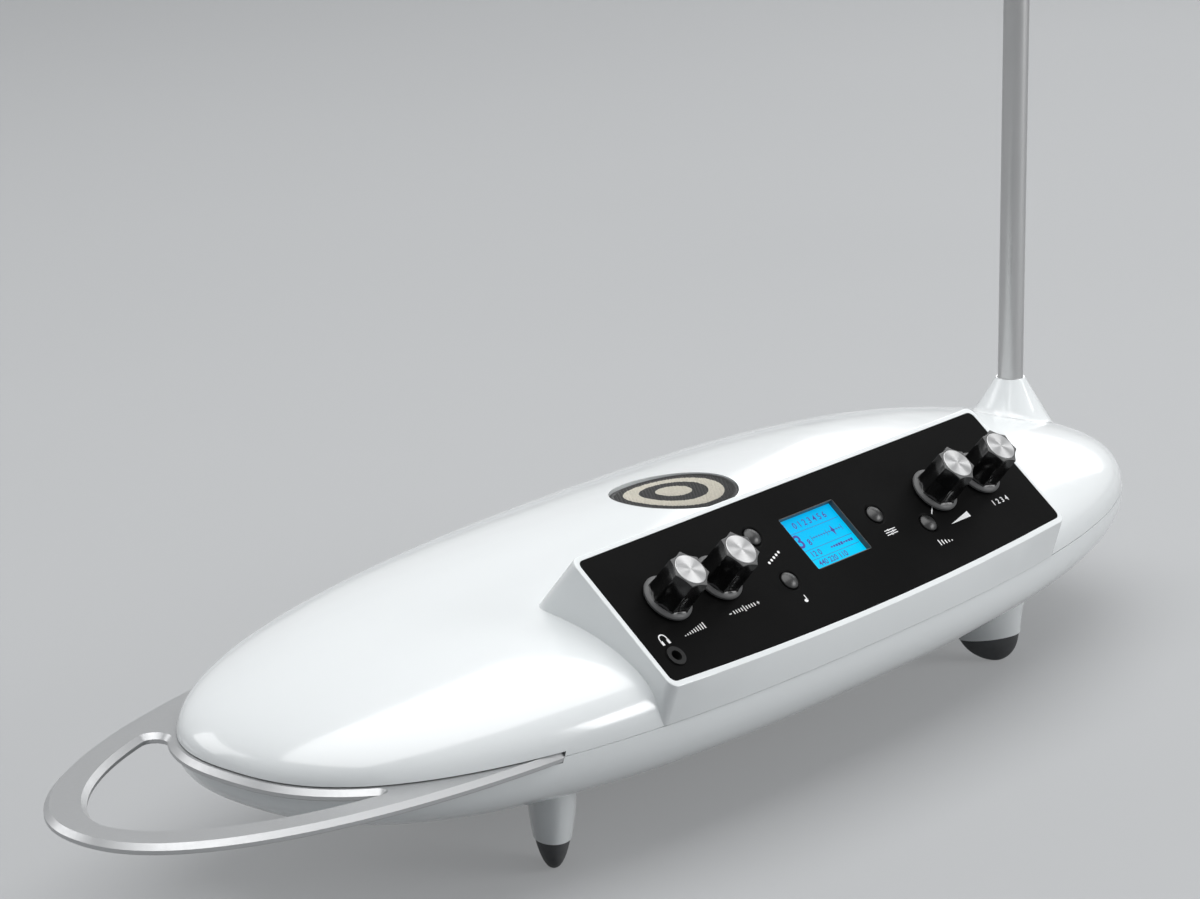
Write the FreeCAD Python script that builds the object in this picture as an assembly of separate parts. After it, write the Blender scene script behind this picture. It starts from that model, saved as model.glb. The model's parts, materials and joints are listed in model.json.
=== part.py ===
import FreeCAD, Part
import math
import os

# Theremin with a moulded two-part body, a tilted control console, a rod antenna
# for pitch and a flat plate antenna for volume.
#
# Millimetres. X runs along the body with the pitch rod at +X and the volume plate
# at -X, Y runs to the back, Z is up. The origin is the mouth of the stand thread,
# in the middle of the flat underside. The feet reach below it.

Vec = FreeCAD.Vector

# Body: two half shells that meet on a level seam
body_length = 421.0
body_depth = 154.0
bowl_depth = 27.7
dome_height = 33.8
plan_power = 2.55
dome_powers = (1.65, 2.4)
crown_shift = 12.0
bowl_powers = (2.6, 2.9)
wall = 2.5
lip_height = 1.6
lip_thickness = 1.2
lip_gap = 0.35
seam_groove = 0.3
seam_groove_depth = 0.5

# Console: a block that stands square to the tilted control panel
panel_tilt = 39.25
panel_length = 204.4
panel_slope = 46.8
panel_bulge = 3.2
panel_thickness = 2.0
panel_corner = 2.4
panel_top_back = 38.3
panel_top_rise = 10.1
rim = 1.9
rim_round = 0.4
console_corner = 3.6
console_foot_proud = 0.4
ledge_width = 3.0
ledge_thickness = 2.0
panel_gap = 0.15

# Knobs, drawn along the shaft with height 0 on the panel's face
knob_height = 15.0
knob_radius = 7.3
knob_top_radius = 7.0
knob_skirt_radius = 8.3
knob_skirt_height = 1.1
knob_lift = 0.6
knob_flutes = 7
flute_radius = 9.0
flute_bite = 1.4
knob_room_gap = 0.3
cap_radius = 5.3
cap_thickness = 0.9
knob_row_v = 21.9
outer_knob_u = 81.4
inner_knob_u = 56.9
shaft_radius = 3.0
shaft_flat = 1.5
shaft_gap = 0.05
bushing_radius = 3.5
bushing_reach = 2.6
pot_radius = 8.0
pot_depth = 7.0
nut_flats = 10.0
nut_thickness = 1.6

# Push buttons
button_radius = 3.1
button_gap = 0.25
button_dome = 1.3
button_dish_radius = 4.1
button_dish_depth = 0.5
button_flange = 0.9
button_travel = 0.8
button_stem_radius = 1.3
button_places = {
    "scale_button": (-30.2, 13.0),
    "root_button": (-29.6, 31.2),
    "setup_button": (25.3, 21.4),
    "delay_button": (44.3, 31.2),
}

# Display window, and the glass behind it
window_length = 28.2
window_height = 20.8
window_u = -1.0
window_v = 21.3
glass_margin = 2.5
glass_thickness = 2.6
window_corner = 0.8

# Headphone jack on the panel
phones_u = -94.0
phones_v = 39.7
phones_bore = 1.8
phones_sleeve = 2.9
phones_collar = 3.3
phones_collar_height = 0.5
phones_length = 12.0
phones_block = 7.0

# Panel board behind the controls
board_thickness = 1.6
panel_board_length = 176.0
panel_board_top_v = 3.0
panel_board_low_v = 44.0
switch_width = 6.0
switch_height = 3.4

# Volume antenna: a flat plate that the two shells clamp at the left end
plate_thickness = 3.0
plate_rise = 1.1
plate_chamfer = 1.0
plate_centre_in = 135.5
plate_half_length = 196.0
plate_side_in = 9.4
plate_power = 2.2
opening_centre_in = 43.5
opening_half_length = 93.0
opening_side_in = 29.5
opening_power = 1.8
plate_margin = 2.6
plate_tab = 11.5
plate_end_in = 72.0
front_tip_radius = 1.0
rear_tip_radius = 4.0
plate_gap = 0.1
plate_top_gap = 0.3
plate_end_screw_in = 9.5
plate_side_screw_in = 45.5
plate_side_screw_y_in = 33.0

# Pitch antenna: two tube sections on a socket in the right end
rod_in = 27.1
rod_radius = 4.5
rod_wall = 1.0
rod_section = 232.0
rod_engage = 26.0
rod_gap = 0.05
stud_radius = 2.5
stud_length = 10.0
plug_length = 16.0
boot_drop = 1.9
boot_wall = 0.5
boot_gap = 0.15
boot_slope = 0.6
boot_flare = 3.0
boot_height = 23.6
socket_radius = 7.0
socket_floor = 4.0
socket_flange_radius = 11.0
socket_flange = 2.0

# Loudspeaker under the crown, and its grille
speaker_y = 6.8
grille_radius = 21.0
grille_thickness = 1.0
grille_sink = 0.6
grille_gap = 0.2
grille_slot = 1.9
grille_pitch = 3.9
grille_rings = 4
grille_bridge = 1.6
speaker_hole_radius = 16.6
speaker_radius = 20.0
speaker_rim = 2.2
magnet_radius = 9.0
magnet_height = 7.0
speaker_height = 16.0

# Legs and rubber tips
leg_x_in = 95.1
leg_y_in = 38.6
stand_height = 20.0
leg_long = 12.4
leg_short = 7.6
tip_long = 10.9
tip_short = 5.9
tip_height = 9.0
tip_slope = 5.0
tip_lean = 2.6
tip_inset = 0.4
pad_long = 2.2
pad_short = 1.5

# Antenna store under the body, with a finger recess across it
store_y = -19.6
store_width = 19.4
store_room = 10.0
store_depth = 10.5
finger_x = 88.0
finger_width = 36.0
finger_front_in = 21.0
finger_back_y = -4.0
finger_depth = 8.0
store_wall = 2.0

# Stand insert, 5/8 inch thread
stand_bore = 7.43
stand_insert_radius = 9.2
stand_length = 13.0
stand_boss_wall = 2.0

# Rear connector bay
bay_length = 150.0
bay_low_z = 6.5
bay_rise = 4.8
bay_depth = 17.0
jack_panel_thickness = 2.5
jack_panel_gap = 0.15
jack_hole_gap = 0.1
jack_bore = 3.3
jack_sleeve = 5.3
jack_reach = 3.4
jack_length = 26.0
jack_body_width = 15.0
jack_body_height = 12.5
jack_body_depth = 22.0
jack_nut_flats = 13.5
jack_nut = 2.4
jack_places = {"audio_jack_left": 8.0, "audio_jack_right": -14.0, "pitch_voltage_jack": -36.0}
inlet_x = 42.5
inlet_bore = 3.0
inlet_pin = 1.05
inlet_collar = 4.6
inlet_depth = 11.0
usb_x = 26.0
usb_width = 12.0
usb_height = 10.8
usb_depth = 14.0
usb_wall = 0.9
power_x = 60.0
power_radius = 4.0
power_reach = 3.2
power_travel = 2.0
slot_x = -60.0
slot_width = 7.2
slot_height = 3.2

# Main board, and the screws that close the body
main_board_length = 158.0
main_board_front_y = 13.0
main_board_back_gap = 5.0
board_screw_in = 9.0
board_screw_front = 5.0
board_screw_spacing = 15.0
screw_radius = 1.45
screw_hole = 1.7
screw_head_radius = 2.8
screw_head = 2.0
boss_radius = 3.6
screw_bite = 9.0
head_seat = 7.0
end_screw_in = 48.5
right_screw_y = 30.0
left_screw_y = 26.0
rear_screw_x = 92.0
rear_screw_in = 33.0

half_length = body_length / 2
half_depth = body_depth / 2
seam_z = bowl_depth
crown_z = bowl_depth + dome_height
floor_z = -stand_height
tilt = math.radians(panel_tilt)
past = 1.0
panel_top_y = panel_top_back - half_depth
panel_top_z = crown_z + panel_top_rise
plate_centre_x = plate_centre_in - half_length
plate_half_depth = half_depth - plate_side_in
plate_end_x = plate_end_in - half_length
opening_centre_x = opening_centre_in - half_length
opening_half_depth = half_depth - opening_side_in
rod_x = half_length - rod_in
boot_top = crown_z - boot_drop
boot_low_z = boot_top - boot_height
leg_x = half_length - leg_x_in
leg_y = half_depth - leg_y_in
store_length = rod_section + store_room
finger_front_y = finger_front_in - half_depth
bay_face_y = half_depth - bay_depth
bay_high_z = seam_z + bay_rise
bay_mid_z = (bay_low_z + bay_high_z) / 2
main_board_back_y = bay_face_y - main_board_back_gap
rest_of_body = body_length

plate_side_screw_y = half_depth - plate_side_screw_y_in
plate_screw_places = [(plate_end_screw_in - half_length, 0.0)] + [
    (plate_side_screw_in - half_length, side * plate_side_screw_y) for side in (1, -1)
]
end_screw_x = half_length - end_screw_in
rear_screw_y = half_depth - rear_screw_in
shell_screw_places = [(end_screw_x, side * right_screw_y) for side in (1, -1)]
shell_screw_places += [(-end_screw_x, side * left_screw_y) for side in (1, -1)]
shell_screw_places += [(side * rear_screw_x, rear_screw_y) for side in (1, -1)]
board_screw_x = main_board_length / 2 - board_screw_in
board_screw_y = main_board_front_y + board_screw_front
board_screw_places = [
    (side * board_screw_x, y)
    for y in (board_screw_y, board_screw_y + board_screw_spacing)
    for side in (1, -1)
]


def signed_power(value, power):
    return math.copysign(abs(value) ** power, value)


def plan_wire(half_x, half_y, z, power=plan_power, centre_x=0.0, points=56):
    """Closed superellipse at height z, such as the body's outline from above."""
    places = []
    for step in range(points):
        turn = 2 * math.pi * step / points
        x = centre_x + half_x * signed_power(math.cos(turn), 2 / power)
        y = half_y * signed_power(math.sin(turn), 2 / power)
        places.append(Vec(x, y, z))
    outline = Part.BSplineCurve()
    outline.interpolate(places, True)
    return Part.Wire([outline.toShape()])


def plan_prism(grow, low_z, high_z):
    """The body's outline, grown all round, as an upright block."""
    face = Part.Face(plan_wire(half_length + grow, half_depth + grow, low_z))
    return face.extrude(Vec(0, 0, high_z - low_z))


def plan_y(x, inset=0.0):
    """Half depth of the body's outline at x."""
    share = abs(x) / (half_length - inset)
    return (half_depth - inset) * (1 - share ** plan_power) ** (1 / plan_power)


def half_shell(inset, height, powers, up, pole_shift=0.0, rings=8):
    """Solid half of the body: outlines that shrink from the seam to a pole."""
    sections = []
    for ring in range(rings):
        climb = math.pi / 2 * ring / rings
        share = math.cos(climb) ** (2 / powers[0])
        rise = (height - inset) * math.sin(climb) ** (2 / powers[1])
        z = seam_z + up * rise
        half_x = (half_length - inset) * share
        half_y = (half_depth - inset) * share
        sections.append(plan_wire(half_x, half_y, z, plan_power, pole_shift * (1 - share)))
    sections.append(Part.Vertex(Vec(pole_shift, 0, seam_z + up * (height - inset))))
    return Part.makeLoft(sections, True, False)


def dome(inset=0.0):
    return half_shell(inset, dome_height, dome_powers, 1, crown_shift)


def bowl(inset=0.0):
    return half_shell(inset, bowl_depth, bowl_powers, -1)


def dome_z(x, y):
    """Height of the dome's skin above a place near the crown."""
    share = 0.0
    for _ in range(4):
        along = abs(x - crown_shift * (1 - share)) / half_length
        across = abs(y) / half_depth
        share = (along ** plan_power + across ** plan_power) ** (1 / plan_power)
    return seam_z + dome_height * (1 - share ** dome_powers[0]) ** (1 / dome_powers[1])


def box(low, high):
    return Part.makeBox(high[0] - low[0], high[1] - low[1], high[2] - low[2], Vec(*low))


def rod(radius, low_z, high_z, x=0.0, y=0.0):
    return Part.makeCylinder(radius, high_z - low_z, Vec(x, y, low_z))


def turned(profile):
    """Solid of revolution about Z from (radius, height) points."""
    places = [Vec(r, 0, z) for r, z in profile]
    face = Part.Face(Part.makePolygon(places + places[:1]))
    return face.revolve(Vec(0, 0, 0), Vec(0, 0, 1), 360)


def hexagon(flats, low_z, high_z):
    corner = flats / math.sqrt(3)
    turns = [math.pi * k / 3 for k in range(7)]
    places = [Vec(corner * math.cos(turn), corner * math.sin(turn), low_z) for turn in turns]
    return Part.Face(Part.makePolygon(places)).extrude(Vec(0, 0, high_z - low_z))


def fused(shapes):
    whole = shapes[0]
    if len(shapes) > 1:
        whole = shapes[0].multiFuse(shapes[1:]).removeSplitter()
    return whole


def group(shapes):
    """Separate solids that share one node."""
    return Part.makeCompound([solid for shape in shapes for solid in shape.Solids])


def panel_point(u, v, h=0.0):
    """Point at u along the panel, v down its slope and h out of its face."""
    y = panel_top_y - v * math.cos(tilt) - h * math.sin(tilt)
    z = panel_top_z - v * math.sin(tilt) + h * math.cos(tilt)
    return Vec(u, y, z)


def on_panel(shape, u=0.0, v=0.0):
    """Moves a shape drawn on the XY plane, +Y up the slope, onto the panel."""
    moved = shape.copy()
    slope = FreeCAD.Placement(panel_point(u, v), FreeCAD.Rotation(Vec(1, 0, 0), panel_tilt))
    moved.Placement = slope.multiply(moved.Placement)
    return moved


def on_back(shape, x, z=bay_mid_z, y=bay_face_y):
    """Moves a shape drawn along +Z so that it points out of the rear bay."""
    moved = shape.copy()
    turn = FreeCAD.Rotation(Vec(1, 0, 0), -90)
    moved.Placement = FreeCAD.Placement(Vec(x, y, z), turn).multiply(moved.Placement)
    return moved


def fillet_along(solid, direction, radius, keep=lambda edge: True):
    """Rounds the straight edges of a solid that run along a direction."""
    edges = []
    for edge in solid.Edges:
        if len(edge.Vertexes) < 2:
            continue
        run = edge.Vertexes[1].Point.sub(edge.Vertexes[0].Point)
        if run.Length > 0 and abs(run.normalize().dot(direction)) > 0.97 and keep(edge):
            edges.append(edge)
    return solid.makeFillet(radius, edges)


# ---------------------------------------------------------------- console


def panel_block(grow, high, low, corner):
    """The panel's outline, grown all round, as a block between two heights."""
    half = panel_length / 2 + grow
    top = grow
    bottom = -(panel_slope + grow)
    bulged = bottom - panel_bulge
    edges = [
        Part.LineSegment(Vec(-half, top, low), Vec(half, top, low)).toShape(),
        Part.LineSegment(Vec(half, top, low), Vec(half, bottom, low)).toShape(),
        Part.Arc(Vec(half, bottom, low), Vec(0, bulged, low), Vec(-half, bottom, low)).toShape(),
        Part.LineSegment(Vec(-half, bottom, low), Vec(-half, top, low)).toShape(),
    ]
    block = Part.Face(Part.Wire(edges)).extrude(Vec(0, 0, high - low))
    return fillet_along(block, Vec(0, 0, 1), corner)


def console(inset, depth, foot_inset, corner):
    """Block from the panel down to the seam. Its back wall stands square to the
    panel, and the foot of its front wall follows the body's outline."""
    half = panel_length / 2 + rim - inset
    top = -rim + inset
    bottom = panel_slope + rim - inset
    top_left = panel_point(-half, top, -depth)
    top_right = panel_point(half, top, -depth)
    low_right = panel_point(half, bottom, -depth)
    low_left = panel_point(-half, bottom, -depth)
    low_middle = panel_point(0, bottom + panel_bulge, -depth)
    upper = Part.Wire(
        [
            Part.LineSegment(top_left, top_right).toShape(),
            Part.LineSegment(top_right, low_right).toShape(),
            Part.Arc(low_right, low_middle, low_left).toShape(),
            Part.LineSegment(low_left, top_left).toShape(),
        ]
    )
    foot_half = panel_length / 2 + rim - foot_inset
    back_y = top_left.y + (top_left.z - seam_z) * math.tan(tilt)
    front = []
    stations = 8
    for step in range(stations + 1):
        x = foot_half * (1 - 2 * step / stations)
        front.append(Vec(x, -plan_y(x, foot_inset), seam_z))
    front_edge = Part.BSplineCurve()
    front_edge.interpolate(front)
    back_left = Vec(-foot_half, back_y, seam_z)
    back_right = Vec(foot_half, back_y, seam_z)
    lower = Part.Wire(
        [
            Part.LineSegment(back_left, back_right).toShape(),
            Part.LineSegment(back_right, front[0]).toShape(),
            front_edge.toShape(),
            Part.LineSegment(front[-1], back_left).toShape(),
        ]
    )
    block = Part.makeLoft([upper, lower], True, True)
    uprights = []
    for edge in block.Edges:
        ends = [vertex.Point.z for vertex in edge.Vertexes]
        if len(ends) == 2 and abs(min(ends) - seam_z) < 0.01 and max(ends) > seam_z + 1:
            uprights.append(edge)
    return block.makeFillet(corner, uprights)


def outer_console():
    """Console block with its sharp top outline taken off."""
    block = console(0.0, 0.0, -console_foot_proud, console_corner)
    outward = panel_point(0, 0, 1).sub(panel_point(0, 0))
    for face in block.Faces:
        if face.normalAt(0.5, 0.5).dot(outward) > 0.999:
            block = block.makeFillet(rim_round, face.Edges)
            break
    return block


def boot():
    """Cone that grows out of the dome and carries the foot of the pitch rod."""
    top_radius = rod_radius + boot_gap + boot_wall
    low_radius = top_radius + boot_slope * (boot_top - boot_low_z)
    cone = Part.makeCone(low_radius, top_radius, boot_top - boot_low_z, Vec(rod_x, 0, boot_low_z))
    return cone


def with_boot(body):
    """Body joined to the boot, with a soft flare where the two meet."""
    joined = body.fuse(boot())
    foot = []
    for edge in joined.Edges:
        middle = edge.BoundBox.Center
        reach = math.hypot(middle.x - rod_x, middle.y)
        if reach < 16.0 and seam_z + 8 < edge.BoundBox.ZMin and edge.BoundBox.ZMax < boot_top - 4:
            foot.append(edge)
    return joined.makeFillet(boot_flare, foot)


# ------------------------------------------------------------------ shells


def bay_box(grow, face_y):
    return box(
        (-bay_length / 2 - grow, face_y, bay_low_z - grow),
        (bay_length / 2 + grow, half_depth + past, bay_high_z + grow),
    )


def crown_barrel(sink):
    """Wide cylinder along X whose top lies sunk under the crown's skin."""
    front_z = dome_z(0, speaker_y - grille_radius)
    rear_z = dome_z(0, speaker_y + grille_radius)
    left_z = dome_z(-grille_radius, speaker_y)
    right_z = dome_z(grille_radius, speaker_y)
    middle_z = dome_z(0, speaker_y)
    drop = middle_z - (front_z + rear_z) / 2
    bend = (grille_radius ** 2 + drop ** 2) / (2 * drop)
    lean_x = math.degrees(math.atan((right_z - left_z) / (2 * grille_radius)))
    lean_y = math.degrees(math.atan((rear_z - front_z) / (2 * grille_radius)))
    reach = grille_radius * 2
    barrel = Part.makeCylinder(bend - sink, 2 * reach, Vec(-reach, 0, -bend), Vec(1, 0, 0))
    turn = FreeCAD.Rotation(Vec(0, 1, 0), -lean_x).multiply(FreeCAD.Rotation(Vec(1, 0, 0), lean_y))
    barrel.Placement = FreeCAD.Placement(Vec(0, speaker_y, middle_z), turn).multiply(barrel.Placement)
    return barrel


def top_shell():
    outer = with_boot(dome()).fuse(outer_console())
    hollow_console = console(
        rim + ledge_width, panel_thickness + ledge_thickness, wall, console_corner - wall / 2
    )
    hollow_dome = dome(wall).cut(bay_box(wall, bay_face_y - jack_panel_thickness))
    shell = outer.cut(hollow_dome).cut(hollow_console)
    supports = []
    for x, y in shell_screw_places:
        supports.append(rod(boss_radius, seam_z, crown_z, x, y).common(dome(wall / 2)))
    socket_support = rod(socket_radius + 2.0, boot_top - rod_engage - 2, boot_top - 10, rod_x)
    supports.append(socket_support.common(dome(wall / 2)))
    shell = shell.multiFuse(supports)
    pocket = on_panel(panel_block(panel_gap, past, -panel_thickness, panel_corner))
    window = on_panel(
        panel_block(-ledge_width, past, -(panel_thickness + ledge_thickness + past), panel_corner - 1.5)
    )
    cuts = [pocket, window, bay_box(0, bay_face_y - jack_panel_thickness - wall * 2), plate_room()]
    column = rod(grille_radius + grille_gap, seam_z, crown_z + past, 0, speaker_y)
    cuts.append(column.cut(crown_barrel(grille_sink + grille_thickness)))
    cuts.append(rod(speaker_hole_radius, seam_z + 10, crown_z + past, 0, speaker_y))
    cuts.append(rod(rod_radius + boot_gap, seam_z, boot_top + past, rod_x))
    cuts.append(rod(socket_radius + rod_gap, seam_z, boot_top - 10 - wall, rod_x))
    for x, y in shell_screw_places:
        cuts.append(rod(screw_radius, seam_z - past, seam_z + screw_bite, x, y))
    for cut in cuts:
        shell = shell.cut(cut)
    return shell


def store_block(grow, depth):
    """Round-ended trough along X for the two rod sections."""
    half = store_width / 2 + grow
    straight = store_length / 2 - store_width / 2
    low_z = -past
    middle = box((-straight, store_y - half, low_z), (straight, store_y + half, depth))
    ends = [rod(half, low_z, depth, side * straight, store_y) for side in (-1, 1)]
    return fused([middle] + ends)


def finger_block(grow, depth):
    block = box(
        (finger_x - finger_width / 2 - grow, finger_front_y - grow, -past),
        (finger_x + finger_width / 2 + grow, finger_back_y + grow, depth),
    )
    return fillet_along(block, Vec(0, 0, 1), 7.0 + grow)


def leg_section(long_half, short_half, lean, z, side_x, side_y):
    """Long rounded outline of a leg, its long way pointing out of the corner."""
    ellipse = Part.Ellipse(Vec(lean, 0, 0), long_half, short_half)
    outline = Part.Wire([ellipse.toShape()])
    turn = math.degrees(math.atan2(side_y, side_x))
    place = Vec(side_x * leg_x, side_y * leg_y, z)
    outline.Placement = FreeCAD.Placement(place, FreeCAD.Rotation(Vec(0, 0, 1), turn))
    return outline


def whole_leg(side_x, side_y, inset=0.0):
    """Leg and rubber tip as one form, from inside the bowl down to the floor."""
    joint_z = floor_z + tip_height
    sizes = [
        (leg_long, leg_short, 0.0, bowl_depth / 2),
        (leg_long * 0.98, leg_short * 0.97, 0.0, 0.0),
        (tip_long, tip_short, 0.0, joint_z),
        (tip_long * 0.82, tip_short * 0.78, tip_lean * 0.35, floor_z + tip_height * 0.5),
        (tip_long * 0.5, tip_short * 0.5, tip_lean * 0.75, floor_z + tip_height * 0.14),
        (pad_long, pad_short, tip_lean, floor_z),
    ]
    sections = [leg_section(a - inset, b - inset, lean, z, side_x, side_y) for a, b, lean, z in sizes]
    return Part.makeLoft(sections, True, False)


def under_joint(side_x, side_y):
    """Everything below the sloping joint between a leg and its rubber tip."""
    reach = 4 * leg_long
    block = box((-reach, -reach, -reach), (reach, reach, 0))
    turn = FreeCAD.Rotation(Vec(side_y, -side_x, 0), tip_slope)
    block.Placement = FreeCAD.Placement(Vec(side_x * leg_x, side_y * leg_y, floor_z + tip_height), turn)
    return block


corners = [(-1, -1), (1, -1), (-1, 1), (1, 1)]


def bottom_shell():
    outer = bowl()
    inner = bowl(wall)
    supports = [
        store_block(store_wall, store_depth + store_wall),
        finger_block(store_wall, finger_depth + store_wall),
        rod(stand_insert_radius + stand_boss_wall, 0, stand_length + stand_boss_wall),
    ]
    for x, y in shell_screw_places:
        supports.append(rod(boss_radius + 0.8, 0, seam_z, x, y))
    for x, y in board_screw_places:
        supports.append(rod(boss_radius, 0, main_board_z(), x, y))
    shell = outer.cut(inner.cut(bay_box(wall, bay_face_y - jack_panel_thickness)))
    shell = shell.multiFuse([support.common(outer) for support in supports])
    legs = [whole_leg(*corner).cut(under_joint(*corner)).cut(bowl(wall / 2)) for corner in corners]
    shell = shell.multiFuse(legs)
    lip_low = plan_prism(-wall + lip_gap * 2, seam_z - 3.0, seam_z)
    lip_high = plan_prism(-wall - lip_gap, seam_z, seam_z + lip_height)
    lip_hole = plan_prism(-wall - lip_gap - lip_thickness, seam_z - 4.0, seam_z + lip_height + past)
    lip = lip_low.fuse(lip_high).cut(lip_hole)
    lip = lip.cut(bay_box(wall + lip_gap, bay_face_y - jack_panel_thickness - wall))
    console_inside = panel_length / 2 + rim - wall
    lip = lip.cut(box((-console_inside, -half_depth, seam_z), (console_inside, 0, crown_z)))
    shell = shell.fuse(lip)
    groove = plan_prism(past, seam_z - seam_groove, seam_z).cut(
        plan_prism(-seam_groove_depth, seam_z - seam_groove - past, seam_z + past)
    )
    cuts = [
        groove,
        store_block(0, store_depth),
        finger_block(0, finger_depth),
        rod(stand_insert_radius, -past, stand_length),
        bay_box(0, bay_face_y - jack_panel_thickness - wall * 2),
        plate_room(),
    ]
    for x, y in shell_screw_places:
        cuts.append(rod(screw_hole, -past, seam_z + past, x, y))
        cuts.append(rod(screw_head_radius + 0.3, -past, head_seat, x, y))
    for x, y in board_screw_places:
        cuts.append(rod(screw_radius, main_board_z() - 5.0, main_board_z() + past, x, y))
    for x, y in plate_screw_places:
        cuts.append(rod(screw_radius, plate_low() - 6.0, seam_z, x, y))
    for cut in cuts:
        shell = shell.cut(cut)
    return shell


def main_board_z():
    return store_depth + 0.5


# ------------------------------------------------------------ control panel


def control_panel():
    plate = panel_block(0, 0, -panel_thickness, panel_corner - panel_gap)
    holes = []
    for u in (-outer_knob_u, -inner_knob_u, inner_knob_u, outer_knob_u):
        holes.append(rod(bushing_radius + 0.1, -panel_thickness - past, past, u, -knob_row_v))
    for u, v in button_places.values():
        holes.append(rod(button_radius + button_gap, -panel_thickness - past, past, u, -v))
        holes.append(dish(u, v))
    holes.append(rod(phones_sleeve + 0.1, -panel_thickness - past, past, phones_u, -phones_v))
    opening = box(
        (window_u - window_length / 2, -window_v - window_height / 2, -panel_thickness - past),
        (window_u + window_length / 2, -window_v + window_height / 2, past),
    )
    holes.append(fillet_along(opening, Vec(0, 0, 1), window_corner))
    for hole in holes:
        plate = plate.cut(hole)
    return on_panel(plate)


def dish(u, v):
    """Shallow dish in the panel round a button."""
    sink = turned(
        [
            (0, -button_dish_depth),
            (button_radius + button_gap, -button_dish_depth),
            (button_dish_radius, 0),
            (button_dish_radius, past),
            (0, past),
        ]
    )
    return sink.translated(Vec(u, -v, 0))


def knob():
    """Fluted knob with a skirt, hollow below for the nut, with a D-shaped bore."""
    body = turned(
        [
            (0, knob_lift),
            (knob_skirt_radius, knob_lift),
            (knob_skirt_radius, knob_lift + knob_skirt_height),
            (knob_radius + 0.5, knob_lift + knob_skirt_height + 0.9),
            (knob_radius, knob_lift + knob_skirt_height + 2.4),
            (knob_top_radius + 0.2, knob_height - 0.7),
            (knob_top_radius - 0.4, knob_height),
            (0, knob_height),
        ]
    )
    flute_low = knob_lift + knob_skirt_height + 0.9
    reach = knob_radius + flute_radius - flute_bite
    for k in range(knob_flutes):
        turn = 2 * math.pi * k / knob_flutes
        x = reach * math.cos(turn)
        y = reach * math.sin(turn)
        body = body.cut(rod(flute_radius, flute_low, knob_height + past, x, y))
    nut_room = nut_flats / math.sqrt(3) + knob_room_gap
    body = body.cut(rod(nut_room, 0, nut_thickness + knob_room_gap))
    body = body.cut(rod(bushing_radius + knob_room_gap, 0, bushing_reach + knob_room_gap))
    body = body.cut(d_shaft(shaft_radius, nut_thickness, shaft_top() + knob_room_gap))
    return body.cut(rod(cap_radius + shaft_gap, knob_height - cap_thickness, knob_height + past))


def shaft_top():
    return knob_height - cap_thickness - 1.8


def d_shaft(radius, low, high):
    """Shaft with a flat on one side over its upper part."""
    flat = box((shaft_flat, -radius * 2, bushing_reach + 0.4), (radius * 2, radius * 2, high + past))
    return rod(radius, low, high).cut(flat)


def knob_cap():
    lift = 0.15
    return rod(cap_radius, knob_height - cap_thickness, knob_height + lift)


def pot():
    """Rotary control behind the panel, with a threaded bushing round the shaft."""
    low = -panel_thickness - pot_depth
    can = rod(pot_radius, low, -panel_thickness - 0.1)
    bushing = rod(bushing_radius, -panel_thickness - past, bushing_reach)
    bore = rod(shaft_radius + shaft_gap, low + 1.5, bushing_reach + past)
    return can.fuse(bushing).cut(bore)


def pot_shaft():
    return d_shaft(shaft_radius, -panel_thickness - pot_depth + 1.6, shaft_top())


def pot_nut():
    return hexagon(nut_flats, 0, nut_thickness).cut(rod(bushing_radius, -past, nut_thickness + past))


def button():
    """Domed button with a flange behind the panel and a short stem."""
    crown = button_dome
    radius = (button_radius ** 2 + crown ** 2) / (2 * crown)
    ball = Part.makeSphere(radius, Vec(0, 0, crown - radius))
    cap = rod(button_radius, -panel_thickness - 0.3, crown).common(ball)
    flange_high = -panel_thickness - 0.15
    flange = rod(button_radius + button_flange, flange_high - 0.8, flange_high)
    stem_low = board_face_h() + switch_height + button_travel + 0.1
    stem = rod(button_stem_radius, stem_low, flange_high)
    skirt = rod(button_radius, flange_high - 0.8, 0)
    return fused([cap, skirt, flange, stem])


def board_face_h():
    """Height of the panel board's front face under the panel's face."""
    return -panel_thickness - pot_depth - 0.2


def panel_board():
    back = board_face_h() - board_thickness
    board = box(
        (-panel_board_length / 2, -panel_board_low_v, back),
        (panel_board_length / 2, -panel_board_top_v, board_face_h()),
    )
    return on_panel(board)


def button_switches():
    switches = []
    for u, v in button_places.values():
        half = switch_width / 2
        base = board_face_h()
        case = box((u - half, -v - half, base), (u + half, -v + half, base + switch_height - 0.8))
        plunger = rod(1.6, base + switch_height - 0.8, base + switch_height, u, -v)
        switches.append(on_panel(case.fuse(plunger)))
    return group(switches)


def display_glass():
    half_x = window_length / 2 + glass_margin
    half_y = window_height / 2 + glass_margin
    return on_panel(
        box(
            (window_u - half_x, -window_v - half_y, -panel_thickness - glass_thickness),
            (window_u + half_x, -window_v + half_y, -panel_thickness),
        )
    )


def display_frame():
    """Carrier that holds the display glass off the panel board."""
    half_x = window_length / 2 + glass_margin + 1.5
    half_y = window_height / 2 + glass_margin + 1.5
    high = -panel_thickness - glass_thickness
    return on_panel(
        box(
            (window_u - half_x, -window_v - half_y, board_face_h()),
            (window_u + half_x, -window_v + half_y, high),
        )
    )


def headphone_jack():
    low = -panel_thickness - phones_length
    half = phones_block / 2
    block = box((-half, -half, low), (half, half, -panel_thickness))
    sleeve = rod(phones_sleeve, -panel_thickness - past, phones_collar_height)
    collar = rod(phones_collar, 0, phones_collar_height)
    jack = fused([block, sleeve, collar])
    jack = jack.cut(rod(phones_bore, low + 1.5, phones_collar_height + past))
    return on_panel(jack, phones_u, phones_v)


# ------------------------------------------------------------------ antennas


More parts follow.
